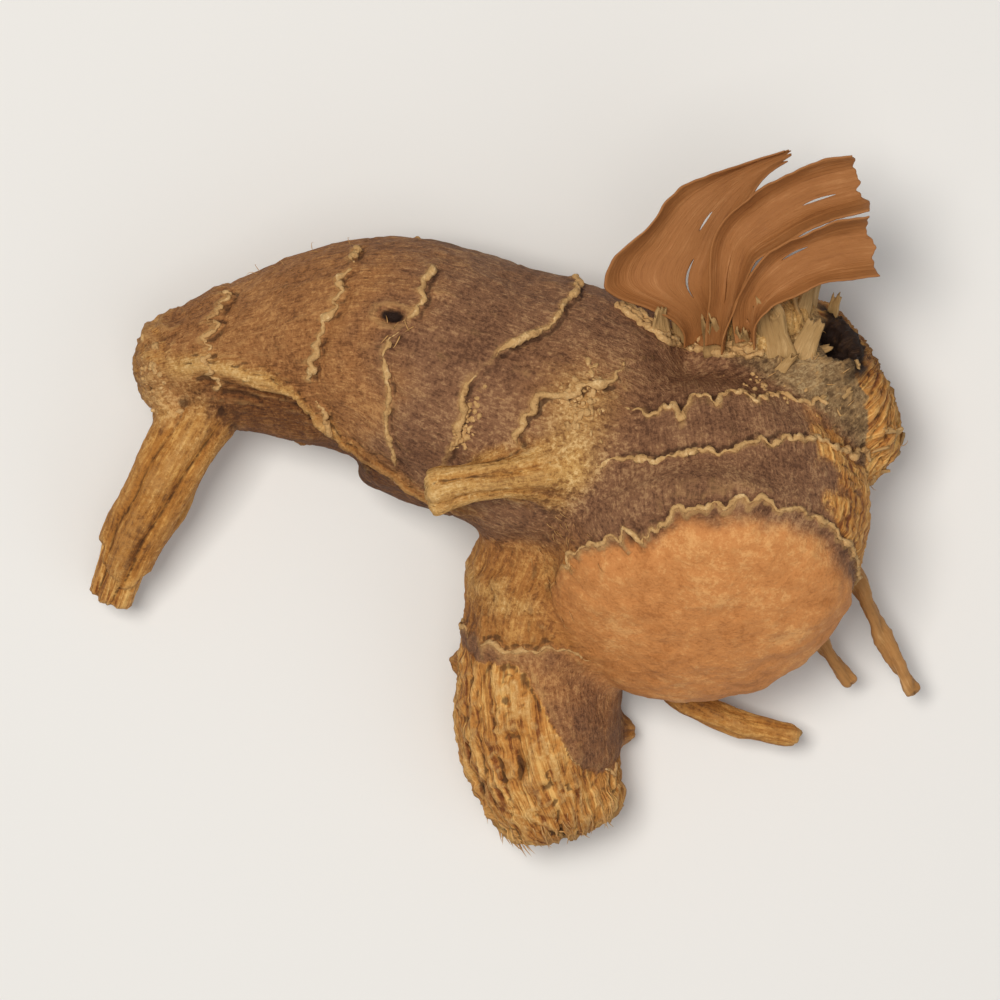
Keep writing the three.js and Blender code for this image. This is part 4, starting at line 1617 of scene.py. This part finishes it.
@dataclass
class ScarLips:
    """The cream lips on the leaf scars, each a crust that runs round its limb where it still stands.

    fringe is the line over the ground where the bark ends at the old stem.
    """

    anatomy: Anatomy
    surface: Surface
    step: float = 0.14
    thickness: float = 0.3
    crumbs: tuple[Crumbs, ...] = (
        Crumbs("arm", (0.16, 0.235), (-22, 4), 80, (0.14, 0.36)),
        Crumbs("arm", (0.35, 0.385), (4, 32), 60, (0.1, 0.3)),
        Crumbs("knob", (0.2, 0.35), (-150, -128), 24, (0.12, 0.3)),
        Crumbs("knob", (0.08, 0.2), (-75, -40), 26, (0.1, 0.24)),
        Crumbs("shoulder", (0.45, 0.75), (-110, -40), 40, (0.1, 0.26)),
        Crumbs("arm", (0.92, 1.0), (-70, 70), 30, (0.14, 0.34)),
    )
    seed: int = 5
    fringe: tuple[tuple[float, float], ...] = (
        (8.6, 16.6), (10.2, 15.4), (12.3, 13.9), (14.7, 13.3), (17.2, 13.0), (19.8, 12.8),
    )

    def build(self, finishes: Finishes) -> bpy.types.Object:
        """Makes all the lips and dresses them.

        Args:
            finishes: The materials.

        Returns:
            The lips.
        """
        draw = np.random.default_rng(self.seed)
        crusts = self._fringes()
        for limb in self.anatomy.skinned:
            for scar in limb.scars:
                crusts += [self._crust(limb, scar, run) for run in self._runs(limb, scar)]
            for crumbs in self.crumbs:
                if crumbs.limb == limb.name:
                    crusts += self._scattered(limb, crumbs, draw)
        mesh = gathered(crusts, "scar_lips")
        spots = spots_of(mesh)
        rough = 0.15 * noise(spots / 0.28, 201) + 0.1 * noise(spots / 0.75, 202)
        move_to(mesh, spots + normals_of(mesh) * rough[:, None])
        return finish_piece("scar_lips", mesh, finishes.lip)

    def _fringes(self) -> list[bmesh.types.BMesh]:
        """The torn fringe where the bark ends at the old stem, as three beaded lines side by side."""
        stops = [(x, y, 0.0) for x, y in self.fringe]
        route = Route(stops)
        made = []
        for number, aside in enumerate((-0.35, 0.05, 0.45)):
            shares = np.linspace(0.04 * number, 1 - 0.03 * number, int(route.length / self.step))
            over = route.at(shares)
            over[:, 1] += aside + 0.3 * noise(over / 0.8, 211 + number)
            hits = [self.surface.from_above(x, y) for x, y, _ in over]
            spots = np.array([hit[0] for hit in hits])
            out = np.array([hit[1] for hit in hits])
            size = 0.26 * (1 + 0.75 * noise(spots / 0.45, 221 + number))
            made.append(tube_along(spots + out * 0.08, np.maximum(size, 0.05), out, 8, 1.0))
        return made

    def _scattered(self, limb: Limb, crumbs: Crumbs, draw: np.random.Generator) -> list[bmesh.types.BMesh]:
        """Small lumps of crust, strewn over a place and bedded in the skin.

        Args:
            limb: The limb.
            crumbs: The place.
            draw: The random draws.

        Returns:
            The lumps.
        """
        made = []
        for _ in range(crumbs.count):
            share, degrees = draw.normal(0.5, 0.24, 2)
            low, high = crumbs.shares
            left, right = crumbs.degrees
            size = draw.uniform(*crumbs.size) * draw.uniform(0.5, 1)
            stretch = draw.uniform(0.7, 1.4, 3)
            angle = math.radians(left + (right - left) * degrees)
            foot = self.surface.under(limb, low + (high - low) * share, angle)
            if foot is None:
                continue
            shape = bmesh.new()
            bmesh.ops.create_icosphere(shape, subdivisions=2, radius=size)
            bmesh.ops.scale(shape, vec=stretch, verts=shape.verts)
            bmesh.ops.translate(shape, vec=foot[0] - foot[1] * size * 0.25, verts=shape.verts)
            made.append(shape)
        return made

    def _runs(self, limb: Limb, scar: Scar) -> list[list[tuple[float, Vector, Vector]]]:
        """The stretches of a scar that can be seen, as (angle, point, normal) by small steps.

        Args:
            limb: The limb.
            scar: One of its scars.

        Returns:
            The stretches.
        """
        count = int(TAU * limb.radius / self.step)
        runs: list[list[tuple[float, Vector, Vector]]] = [[]]
        angles = np.linspace(-math.pi, math.pi, count)
        shares = scar.share_at(limb, angles)
        standing = scar.standing(limb, angles)
        for angle, share, stands in zip(angles, shares, standing):
            found = self.surface.under(limb, float(share), float(angle)) if stands > 0.12 else None
            if found and found[0].z > 0.4:
                runs[-1].append((float(angle), *found))
            elif runs[-1]:
                runs.append([])
        return [run for run in runs if len(run) > 5]

    def _crust(self, limb: Limb, scar: Scar, run: list[tuple[float, Vector, Vector]]) -> bmesh.types.BMesh:
        """One stretch of a lip.

        Args:
            limb: The limb.
            scar: One of its scars.
            run: The stretch.

        Returns:
            The crust.
        """
        angles = np.array([angle for angle, _, _ in run])
        spots = np.array([spot for _, spot, _ in run])
        out = np.array([normal for _, _, normal in run])
        for _ in range(2):
            spots[1:-1] = (spots[:-2] + 2 * spots[1:-1] + spots[2:]) / 4
            out[1:-1] = (out[:-2] + 2 * out[1:-1] + out[2:]) / 4
        size = scar.standing(limb, angles)
        ends = np.minimum(np.arange(len(run)), np.arange(len(run))[::-1]) / 5
        beads = 1 + 0.55 * noise(spots / 0.45, scar.seed) + 0.65 * noise(spots / 1.3, scar.seed + 1)
        radii = scar.breadth / 2 * size * beads * np.clip(ends, 0.25, 1)
        tall = scar.lip * self.thickness / max(scar.breadth / 2, 0.1) * 1.6
        rise = scar.lip * 0.16 * size
        return tube_along(spots + unit(out) * rise[:, None], radii, unit(out), 8, tall)


@dataclass
class WireRoots:
    """The two thin roots that stand free of the knob."""

    anatomy: Anatomy
    names: tuple[str, ...] = ("wire_root", "inner_wire_root")

    def build(self, finishes: Finishes) -> list[bpy.types.Object]:
        """Makes each root and dresses it."""
        return [self._root(name, finishes) for name in self.names]

    def _root(self, name: str, finishes: Finishes) -> bpy.types.Object:
        """One root, shrunk into furrows along its length.

        Args:
            name: The root's name.
            finishes: The materials.

        Returns:
            The root.
        """
        limb = self.anatomy.roots[name]
        shape = bmesh.new()
        limb.shell(shape, 0.12)
        mesh = mesh_of(shape, name)
        spots = spots_of(mesh)
        place = limb.locate(spots)
        twisted = np.abs(np.cos(place.angle + place.along * 0.55 + 0.9 * noise(spots / 3, 71)))
        joints = noise(np.column_stack([place.along / 1.7, place.along * 0, place.along * 0]), 73)
        out = 0.42 * (twisted - 0.85) + 0.09 * layered(spots / 0.7, 2, 72) + 0.1 * joints
        spots = spots + normals_of(mesh) * out[:, None]
        spots[:, 2] = np.maximum(spots[:, 2], 0.02)
        move_to(mesh, spots)
        set_numbers(mesh, "grain", np.column_stack([place.along, place.round_xy]))
        return finish_piece(name, mesh, finishes.cork)


@dataclass(frozen=True)
class Patch:
    """A stretch of skin that bears loose fibres."""

    limb: str
    shares: tuple[float, float]
    degrees: tuple[float, float]
    count: int
    length: tuple[float, float]
    width: float
    rise: float
    along: float = 0.5


@dataclass
class Fibres:
    """Loose fibres that stand off the skin: short hairs on the bark, and bristles where it is torn."""

    anatomy: Anatomy
    surface: Surface
    seed: int = 7
    patches: tuple[Patch, ...] = (
        Patch("arm", (0.12, 0.66), (-50, 50), 26, (0.4, 1.0), 0.03, 0.08, 0.9),
        Patch("arm", (0.515, 0.55), (-16, -6), 7, (0.8, 1.7), 0.07, 0.25, 0.2),
        Patch("arm", (0.6, 0.8), (-75, -60), 8, (0.5, 1.2), 0.035, 0.5, 0.4),
        Patch("knob", (0.55, 0.9), (165, 215), 40, (0.5, 1.2), 0.045, 0.3, 0.6),
        Patch("shoulder", (0.55, 1.0), (-100, 120), 45, (0.4, 1.1), 0.05, 0.3, 0.6),
        Patch("branch", (0.5, 0.95), (-110, 30), 40, (0.6, 1.4), 0.05, 0.08, 0.95),
        Patch("branch", (0.9, 0.99), (-120, 60), 90, (0.7, 1.5), 0.075, 0.06, 1.0),
        Patch("stem_base", (0.3, 1.0), (-180, 180), 30, (0.5, 1.2), 0.06, 0.25, 0.8),
    )

    def build(self, finishes: Finishes) -> bpy.types.Object:
        """Makes the fibres and dresses them.

        Args:
            finishes: The materials.

        Returns:
            The fibres.
        """
        draw = np.random.default_rng(self.seed)
        limbs = {limb.name: limb for limb in self.anatomy.skinned}
        hairs = []
        for patch in self.patches:
            made = [self._hair(limbs[patch.limb], patch, draw) for _ in range(patch.count)]
            hairs += [hair for hair in made if hair]
        mesh = gathered(hairs, "loose_fibres")
        set_numbers(mesh, "grain", spots_of(mesh))
        return finish_piece("loose_fibres", mesh, finishes.hair)

    def _hair(self, limb: Limb, patch: Patch, draw: np.random.Generator) -> bmesh.types.BMesh | None:
        """One fibre, or nothing where its foot would be hidden.

        Args:
            limb: The limb.
            patch: The stretch.
            draw: The random draws.

        Returns:
            The fibre, if any.
        """
        share, degrees = draw.uniform(*patch.shares), draw.uniform(*patch.degrees)
        length, lift = draw.uniform(*patch.length), draw.uniform(0.4, 1.3)
        turn, curl = draw.normal(0, 1), draw.normal(0, 0.2)
        foot = self.surface.under(limb, share, math.radians(degrees))
        if foot is None or foot[0].z < 0.8:
            return None
        spot, out = np.array(foot[0]), np.array(foot[1])
        ahead = limb.route.take(limb.route.heading, np.array([share]))[0]
        ahead = unit(ahead - out * (ahead @ out))
        aside = np.cross(out, ahead)
        way = unit(ahead * patch.along + aside * turn * (1.1 - patch.along))
        part = np.linspace(0, 1, 6)[:, None]
        bend = np.cross(out, way) * curl * part**2
        line = spot - out * 0.06 + (way * part + bend + out * patch.rise * lift * np.sin(part * 2.4)) * length
        line[:, 2] = np.maximum(line[:, 2], 0.05)
        radii = patch.width * (1.15 - part[:, 0])
        return tube_along(line, radii, np.tile(out, (6, 1)), 3)


# ---- The leaf sheaths ----


@dataclass
class Sheath:
    """A torn leaf sheath: a thin blade along its rib, cupped across, with its foot on the stem base.

    way is the side of the stem base that it lies on. stops follow the rib from the end of the lap,
    as shares of the length; edges are how far the blade reaches to the left and right of the rib,
    and across is the way from left to right. curls roll the blade's two edges, and slits are
    (start, end, place across) of the cracks along it.
    """

    name: str
    share: float
    way: tuple[float, float, float]
    length: float
    stops: tuple[tuple[float, float, float], ...]
    edges: tuple[tuple[float, float], ...]
    across: tuple[float, float, float]
    cup: float
    seed: int
    curls: tuple[float, float] = (0.3, 0.3)
    slits: tuple[tuple[float, float, float], ...] = ()
    gape: float = 0.09
    thickness: float = 0.12
    ACROSS: ClassVar[int] = 40
    ALONG: ClassVar[int] = 150

    def build(self, anatomy: Anatomy, surface: Surface, finishes: Finishes) -> bpy.types.Object:
        """Makes the sheath and dresses it.

        Args:
            anatomy: The limbs.
            surface: The skin, which the blade keeps clear of.
            finishes: The materials.

        Returns:
            The finished sheath.
        """
        rib = self._rib(anatomy.stem_base)
        shape = bmesh.new()
        grain = shape.verts.layers.float_vector.new("grain")
        made = bmesh.ops.create_grid(shape, x_segments=self.ACROSS, y_segments=self.ALONG, size=0.5)
        flat = np.array([v.co for v in made["verts"]]) + 0.5
        spots = self._spread(rib, flat[:, 0], flat[:, 1])
        for vert, spot in zip(made["verts"], spots):
            vert.co = self._clear(surface, Vector(spot))
        for vert, (aside, along, _) in zip(made["verts"], flat):
            vert[grain] = (along * rib.length, (aside - 0.5) * 8, self.seed)
        self._slit(shape, dict(zip(made["verts"], flat)))
        mesh = mesh_of(shape, self.name)
        piece = finish_piece(self.name, mesh, finishes.sheath, self.name)
        wall = piece.modifiers.new("wall", "SOLIDIFY")
        wall.thickness = self.thickness * MM
        wall.offset = 0
        return piece

    def _rib(self, stem: Limb) -> Route:
        """The blade's middle line, from its foot on the stem base.

        Args:
            stem: The stem base.

        Returns:
            The line.
        """
        up = stem.route.take(stem.route.heading, np.array([self.share]))[0]
        way = np.asarray(self.way, float)
        outwards = way - up * (way @ up)
        foot = stem.in_flesh(self.share, outwards, -(SHEATH_GAP + SHEATH_CORE))
        free = foot + up * SHEATH_LAP
        return Route([foot, *(np.asarray(stop) * self.length + free for stop in self.stops)])

    def _spread(self, rib: Route, aside: Numbers, along: Numbers) -> Points:
        """The blade's points at shares across and along it.

        Args:
            rib: The middle line.
            aside: The shares across.
            along: The shares along.

        Returns:
            The points.
        """
        left, right = (blend([pair[hand] for pair in self.edges], along) for hand in (0, 1))
        run = along * rib.length
        tear = np.column_stack([run / 0.8, np.sign(aside - 0.5) * 3, np.full_like(run, self.seed)])
        slow = np.column_stack([run / 2.6, np.sign(aside - 0.5) * 3, np.full_like(run, self.seed)])
        ragged = 1 + np.abs(2 * aside - 1) ** 3 * (0.03 * noise(tear, 81) + 0.1 * noise(slow, 82))
        # The blade's last stretch ends in a torn line, not a straight one.
        torn_end = 0.05 * layered(np.column_stack([aside * 2.6, aside * 0, aside * 0 + self.seed]), 3, 83)
        along = along - smoothstep(0.6, 1, along) * (0.03 + torn_end)
        heading = rib.take(rib.heading, along)
        wide = np.asarray(self.across, float)
        side = unit(wide - heading * (heading @ wide)[:, None])
        face = np.cross(side, heading)
        reach = -left + (left + right) * aside
        half = (left + right) / 2
        bow = self.cup * (2 * aside - 1) ** 2
        roll = self.curls[0] * np.clip(0.3 - aside, 0, 1) ** 2
        roll = roll + self.curls[1] * np.clip(aside - 0.7, 0, 1) ** 2
        veins = 0.015 * noise(np.column_stack([run / 6, reach / 0.3, np.full_like(run, self.seed)]), 84)
        warp = 0.3 * noise(np.column_stack([run / 4.2, reach / 2.6, np.full_like(run, self.seed)]), 85)
        out = bow + roll * half * 4 + veins + warp * smoothstep(0.15, 0.5, along)
        return rib.at(along) + side * (reach * ragged)[:, None] + face * out[:, None]

    @staticmethod
    def _clear(surface: Surface, spot: Vector) -> Vector:
        """The spot, or one just clear of the skin where it would lie under it."""
        near, normal, _, _ = surface.skin.tree.find_nearest(spot)
        depth = (spot - near).dot(normal)
        return spot if depth > SHEATH_GAP or depth < -2.5 else near + normal * SHEATH_GAP

    def _slit(self, shape: bmesh.types.BMesh, flat: dict[bmesh.types.BMVert, Points]) -> None:
        """Opens the cracks in the blade: slits along it, pulled a little apart.

        Args:
            shape: The blade.
            flat: Each vertex's shares across and along.
        """
        for start, end, place in self.slits:
            column = round(place * self.ACROSS) / self.ACROSS
            seam = [
                edge for edge in shape.edges
                if all(abs(flat[v][0] - column) < 1e-4 and start <= flat[v][1] <= end for v in edge.verts)
            ]
            shares = {v: float(flat[v][1]) for edge in seam for v in edge.verts}
            centres = {
                face: np.mean([flat[v][0] for v in face.verts])
                for vert in shares for face in vert.link_faces
            }
            spots = {tuple(v.co): share for v, share in shares.items()}
            halves = bmesh.ops.split_edges(shape, edges=seam)["edges"]
            moves = {}
            for vert in {v for edge in halves for v in edge.verts}:
                share = spots[tuple(vert.co)]
                hand = np.sign(np.mean([centres[face] for face in vert.link_faces]) - column)
                ways = [np.array(face.calc_center_median() - vert.co) for face in vert.link_faces]
                across = unit(np.mean(ways, 0))
                flat[vert] = np.array((column + hand * 1e-3, share, 0.0))
                moves[vert] = across * self.gape * math.sin((share - start) / (end - start) * math.pi)
            for vert, move in moves.items():
                vert.co += Vector(move)


def leaf_sheaths() -> list[Sheath]:
    """The three sheaths, as the leaves left them."""
    return [
        Sheath(
            "sheath_left", 0.22, (-1, 0, 0.3), 11,
            ((0, 0, 0), (0.03, 0.26, 0.1), (0.12, 0.56, 0.2), (0.33, 0.9, 0.27), (0.58, 1.04, 0.3)),
            ((1.2, 0.9), (2.6, 1), (8, 1), (6.6, 0.9), (5, 0.8), (2.9, 0.7), (1, 0.6), (0.4, 0.4)),
            (1, 0.1, 0), 0.35, 3, (1.0, 1.2), ((0.22, 0.4, 0.7), (0.5, 0.6, 0.62)),
        ),
        Sheath(
            "sheath_upper", 0.45, (-0.6, 0, 0.75), 12,
            ((0, 0, 0), (0.08, 0.36, 0.12), (0.25, 0.51, 0.17), (0.49, 0.65, 0.2), (0.86, 0.76, 0.22)),
            ((0.8, 0.8), (1.2, 1.2), (2.2, 1.8), (2.4, 2.0), (2.3, 2.0)),
            (0.5, -0.85, -0.1), 0.4, 11, (1.6, 2.6), ((0.74, 0.92, 0.62),),
        ),
        Sheath(
            "sheath_lower", 0.62, (-0.15, 0, 0.95), 10,
            ((0, 0, 0), (0.24, 0.24, 0.1), (0.57, 0.38, 0.15), (0.89, 0.43, 0.15)),
            ((0.8, 0.8), (1.2, 1.2), (1.9, 1.9), (2.0, 2.2), (2.2, 2.4)),
            (0.4, -0.9, -0.15), 0.4, 23, (2.0, 1.6), ((0.5, 0.66, 0.3),),
        ),
    ]


@dataclass(frozen=True)
class Scales:
    """A group of torn scales, the feet of old leaves, that stand off a limb."""

    limb: str
    shares: tuple[float, float]
    degrees: tuple[float, float]
    count: int
    length: tuple[float, float]
    width: tuple[float, float]
    lean: tuple[float, float]


@dataclass
class TornScales:
    """The stumps and scales round the stem base and along the torn edges.

    flakes are single scales, set one by one: right, back, turn in radians, length, width and lean.
    """

    anatomy: Anatomy
    surface: Surface
    seed: int = 19
    thickness: float = 0.22
    groups: tuple[Scales, ...] = (
        Scales("stem_base", (0.3, 0.9), (-180, 180), 22, (1.2, 3.0), (0.7, 1.8), (0.1, 0.5)),
        Scales("shoulder", (0.6, 0.95), (-90, 60), 44, (0.6, 1.5), (0.3, 0.8), (0.05, 0.4)),
        Scales("arm", (0.86, 1.0), (-90, 60), 8, (0.5, 0.9), (0.4, 0.8), (0.1, 0.4)),
    )
    flakes: tuple[tuple[float, float, float, float, float, float], ...] = (
        (14.4, 12.7, -0.3, 2.1, 2.2, 1.2), (16.3, 12.4, -0.1, 2.3, 1.8, 1.3),
        (18.2, 12.3, 0.15, 2.2, 1.6, 1.2), (20.9, 11.9, -0.1, 4.0, 2.9, 0.75),
        (22.6, 12.0, 0.35, 3.0, 1.8, 0.6), (12.4, 13.7, -0.4, 1.8, 1.7, 1.0),
    )

    def build(self, finishes: Finishes) -> bpy.types.Object:
        """Makes the scales and dresses them.

        Args:
            finishes: The materials.

        Returns:
            The scales.
        """
        draw = np.random.default_rng(self.seed)
        limbs = {limb.name: limb for limb in self.anatomy.skinned}
        scales = []
        for group in self.groups:
            made = [self._scale(limbs[group.limb], group, draw) for _ in range(group.count)]
            scales += [scale for scale in made if scale]
        for number, (x, y, turn, *sizes) in enumerate(self.flakes):
            spot, out = self.surface.from_above(x, y)
            facing = np.array(Vector((0.0, 0.0, 1.0)) * 0.6 + out * 0.4)
            way = np.array((math.sin(turn), math.cos(turn), 0.0))
            scales.append(self._blade(np.array(spot), unit(facing), way, sizes, 31 + number))
        mesh = gathered(scales, "torn_scales")
        return finish_piece("torn_scales", mesh, finishes.stump)

    def _scale(self, limb: Limb, group: Scales, draw: np.random.Generator) -> bmesh.types.BMesh | None:
        """One scale, or nothing where its foot would be hidden.

        Args:
            limb: The limb.
            group: The group.
            draw: The random draws.

        Returns:
            The scale, if any.
        """
        share, degrees = draw.uniform(*group.shares), draw.uniform(*group.degrees)
        length = draw.uniform(*group.length)
        width = draw.uniform(*group.width)
        lean = draw.uniform(*group.lean)
        twist, seed = draw.normal(0, 0.35), int(draw.integers(1, 900))
        foot = self.surface.under(limb, share, math.radians(degrees))
        if foot is None or foot[0].z < 1:
            return None
        spot, out = np.array(foot[0]), np.array(foot[1])
        ahead = limb.route.take(limb.route.heading, np.array([share]))[0]
        ahead = ahead + np.cross(out, ahead) * twist
        return self._blade(spot, out, ahead, (length, width, lean), seed)

    def _blade(
        self, spot: Points, out: Points, ahead: Points, sizes: Sequence[float], seed: int,
    ) -> bmesh.types.BMesh:
        """One torn scale.

        Args:
            spot: Its foot on the skin.
            out: The way out of the skin there.
            ahead: The way it grows.
            sizes: Its length, its width and how far it leans out.
            seed: Which of the many shapes it takes.

        Returns:
            The scale.
        """
        length, width, lean = sizes
        way = unit(ahead - out * (ahead @ out))
        side = np.cross(way, out)
        shape = bmesh.new()
        grain = shape.verts.layers.float_vector.new("grain")
        made = bmesh.ops.create_grid(shape, x_segments=8, y_segments=8, size=0.5)
        flat = np.array([v.co for v in made["verts"]]) + 0.5
        aside, along = (flat[:, 0] - 0.5) * width, flat[:, 1]
        torn = 1 + 0.5 * noise(np.column_stack([aside / 0.45, aside * 0, aside * 0 + seed]), 91) * along
        taper = 1 - 0.35 * along**2 + 0.2 * noise(np.column_stack([along * 3, aside, aside * 0 + seed]), 92)
        run = along * length * torn
        rise = lean * run * (0.35 + 0.65 * along) - 0.25
        bow = -0.25 * (aside * taper) ** 2 / max(width, 0.5)
        places = spot + side * (aside * taper)[:, None] + way * run[:, None] + out * (rise + bow)[:, None]
        for vert, place, (across, up, _) in zip(made["verts"], places, flat):
            vert.co = place
            vert[grain] = (up * length, across * width + seed, seed * 0.37)
        bmesh.ops.recalc_face_normals(shape, faces=shape.faces)
        bmesh.ops.solidify(shape, geom=shape.faces[:], thickness=self.thickness)
        for vert in shape.verts:
            vert.co.z = max(vert.co.z, 0.02)
        return shape


# ---- The stage ----


@dataclass(frozen=True)
class Lamp:
    """A square lamp that faces the root: its place and side in metres, and its power in watts."""

    name: str
    spot: tuple[float, float, float]
    side: float
    power: float
    colour: Colour


@dataclass
class Studio:
    """A pale floor, soft light from overhead, and a camera that looks straight down, in metres."""

    lamps: tuple[Lamp, ...] = (
        Lamp("key", (-0.12, 0.06, 0.55), 0.2, 2.2, (1.0, 0.965, 0.91)),
        Lamp("fill", (0.32, -0.26, 0.4), 0.5, 0.55, (0.97, 0.98, 1.0)),
        Lamp("top", (0.04, -0.12, 0.7), 0.3, 0.75, (1.0, 0.98, 0.95)),
    )
    lit_height: float = 0.008
    room_colour: Colour = (0.95, 0.97, 1.0)
    room_light: float = 0.18
    floor_side: float = 1.2
    floor_drop: float = 0.00002
    floor_colour: Colour = (0.8, 0.79, 0.77)
    view_width: float = 0.0785
    lens: float = 180.0
    sensor: float = 36.0

    def build(self) -> None:
        """Sets up the floor, the lights, the world and the camera."""
        self._floor()
        for lamp in self.lamps:
            self._light(lamp)
        world = bpy.data.worlds.new("room")
        world.use_nodes = True
        sky = world.node_tree.nodes["Background"]
        sky.inputs["Color"].default_value = (*self.room_colour, 1.0)
        sky.inputs["Strength"].default_value = self.room_light
        bpy.context.scene.world = world
        bpy.context.scene.view_settings.view_transform = "Standard"
        self._camera()

    def _floor(self) -> None:
        """The floor, just under the root."""
        shape = bmesh.new()
        bmesh.ops.create_grid(shape, x_segments=1, y_segments=1, size=self.floor_side / 2)
        bmesh.ops.translate(shape, vec=(0, 0, -self.floor_drop), verts=shape.verts)
        mesh = bpy.data.meshes.new("floor")
        shape.to_mesh(mesh)
        shape.free()
        bench = Bench("pale_floor")
        bench.shader.inputs["Base Color"].default_value = (*self.floor_colour, 1.0)
        bench.shader.inputs["Roughness"].default_value = 0.8
        bench.shader.inputs["Specular IOR Level"].default_value = 0.2
        mesh.materials.append(bench.material)
        floor = bpy.data.objects.new("floor", mesh)
        bpy.context.scene.collection.objects.link(floor)

    def _light(self, lamp: Lamp) -> None:
        """Hangs a lamp.

        Args:
            lamp: The lamp.
        """
        light = bpy.data.lights.new(lamp.name, "AREA")
        light.shape = "SQUARE"
        light.size = lamp.side
        light.energy = lamp.power
        light.color = lamp.colour
        holder = bpy.data.objects.new(lamp.name, light)
        holder.location = lamp.spot
        facing = Vector((0, 0, self.lit_height)) - Vector(lamp.spot)
        holder.rotation_euler = facing.to_track_quat("-Z", "Y").to_euler()
        bpy.context.scene.collection.objects.link(holder)

    def _camera(self) -> None:
        """The camera, over the middle of the root, with the thin tip to its left."""
        low, high = CAD_BOX
        view = bpy.data.cameras.new("camera")
        view.lens = self.lens
        view.sensor_width = self.sensor
        distance = self.view_width * self.lens / self.sensor
        holder = bpy.data.objects.new("camera", view)
        holder.location = ((low[0] + high[0]) / 2, (low[1] + high[1]) / 2, distance)
        bpy.context.scene.collection.objects.link(holder)
        bpy.context.scene.camera = holder


def main() -> None:
    """Builds the stage, the root and all that stands on it."""
    logging.basicConfig(level=logging.INFO, format="%(name)s: %(message)s")
    Studio().build()
    finishes = Finishes()
    anatomy = Anatomy()
    skin = Skin(anatomy)
    skin.build(finishes)
    surface = Surface(skin)
    ScarLips(anatomy, surface).build(finishes)
    WireRoots(anatomy).build(finishes)
    Fibres(anatomy, surface).build(finishes)
    TornScales(anatomy, surface).build(finishes)
    for sheath in leaf_sheaths():
        sheath.build(anatomy, surface, finishes)


if __name__ == "__main__":
    main()
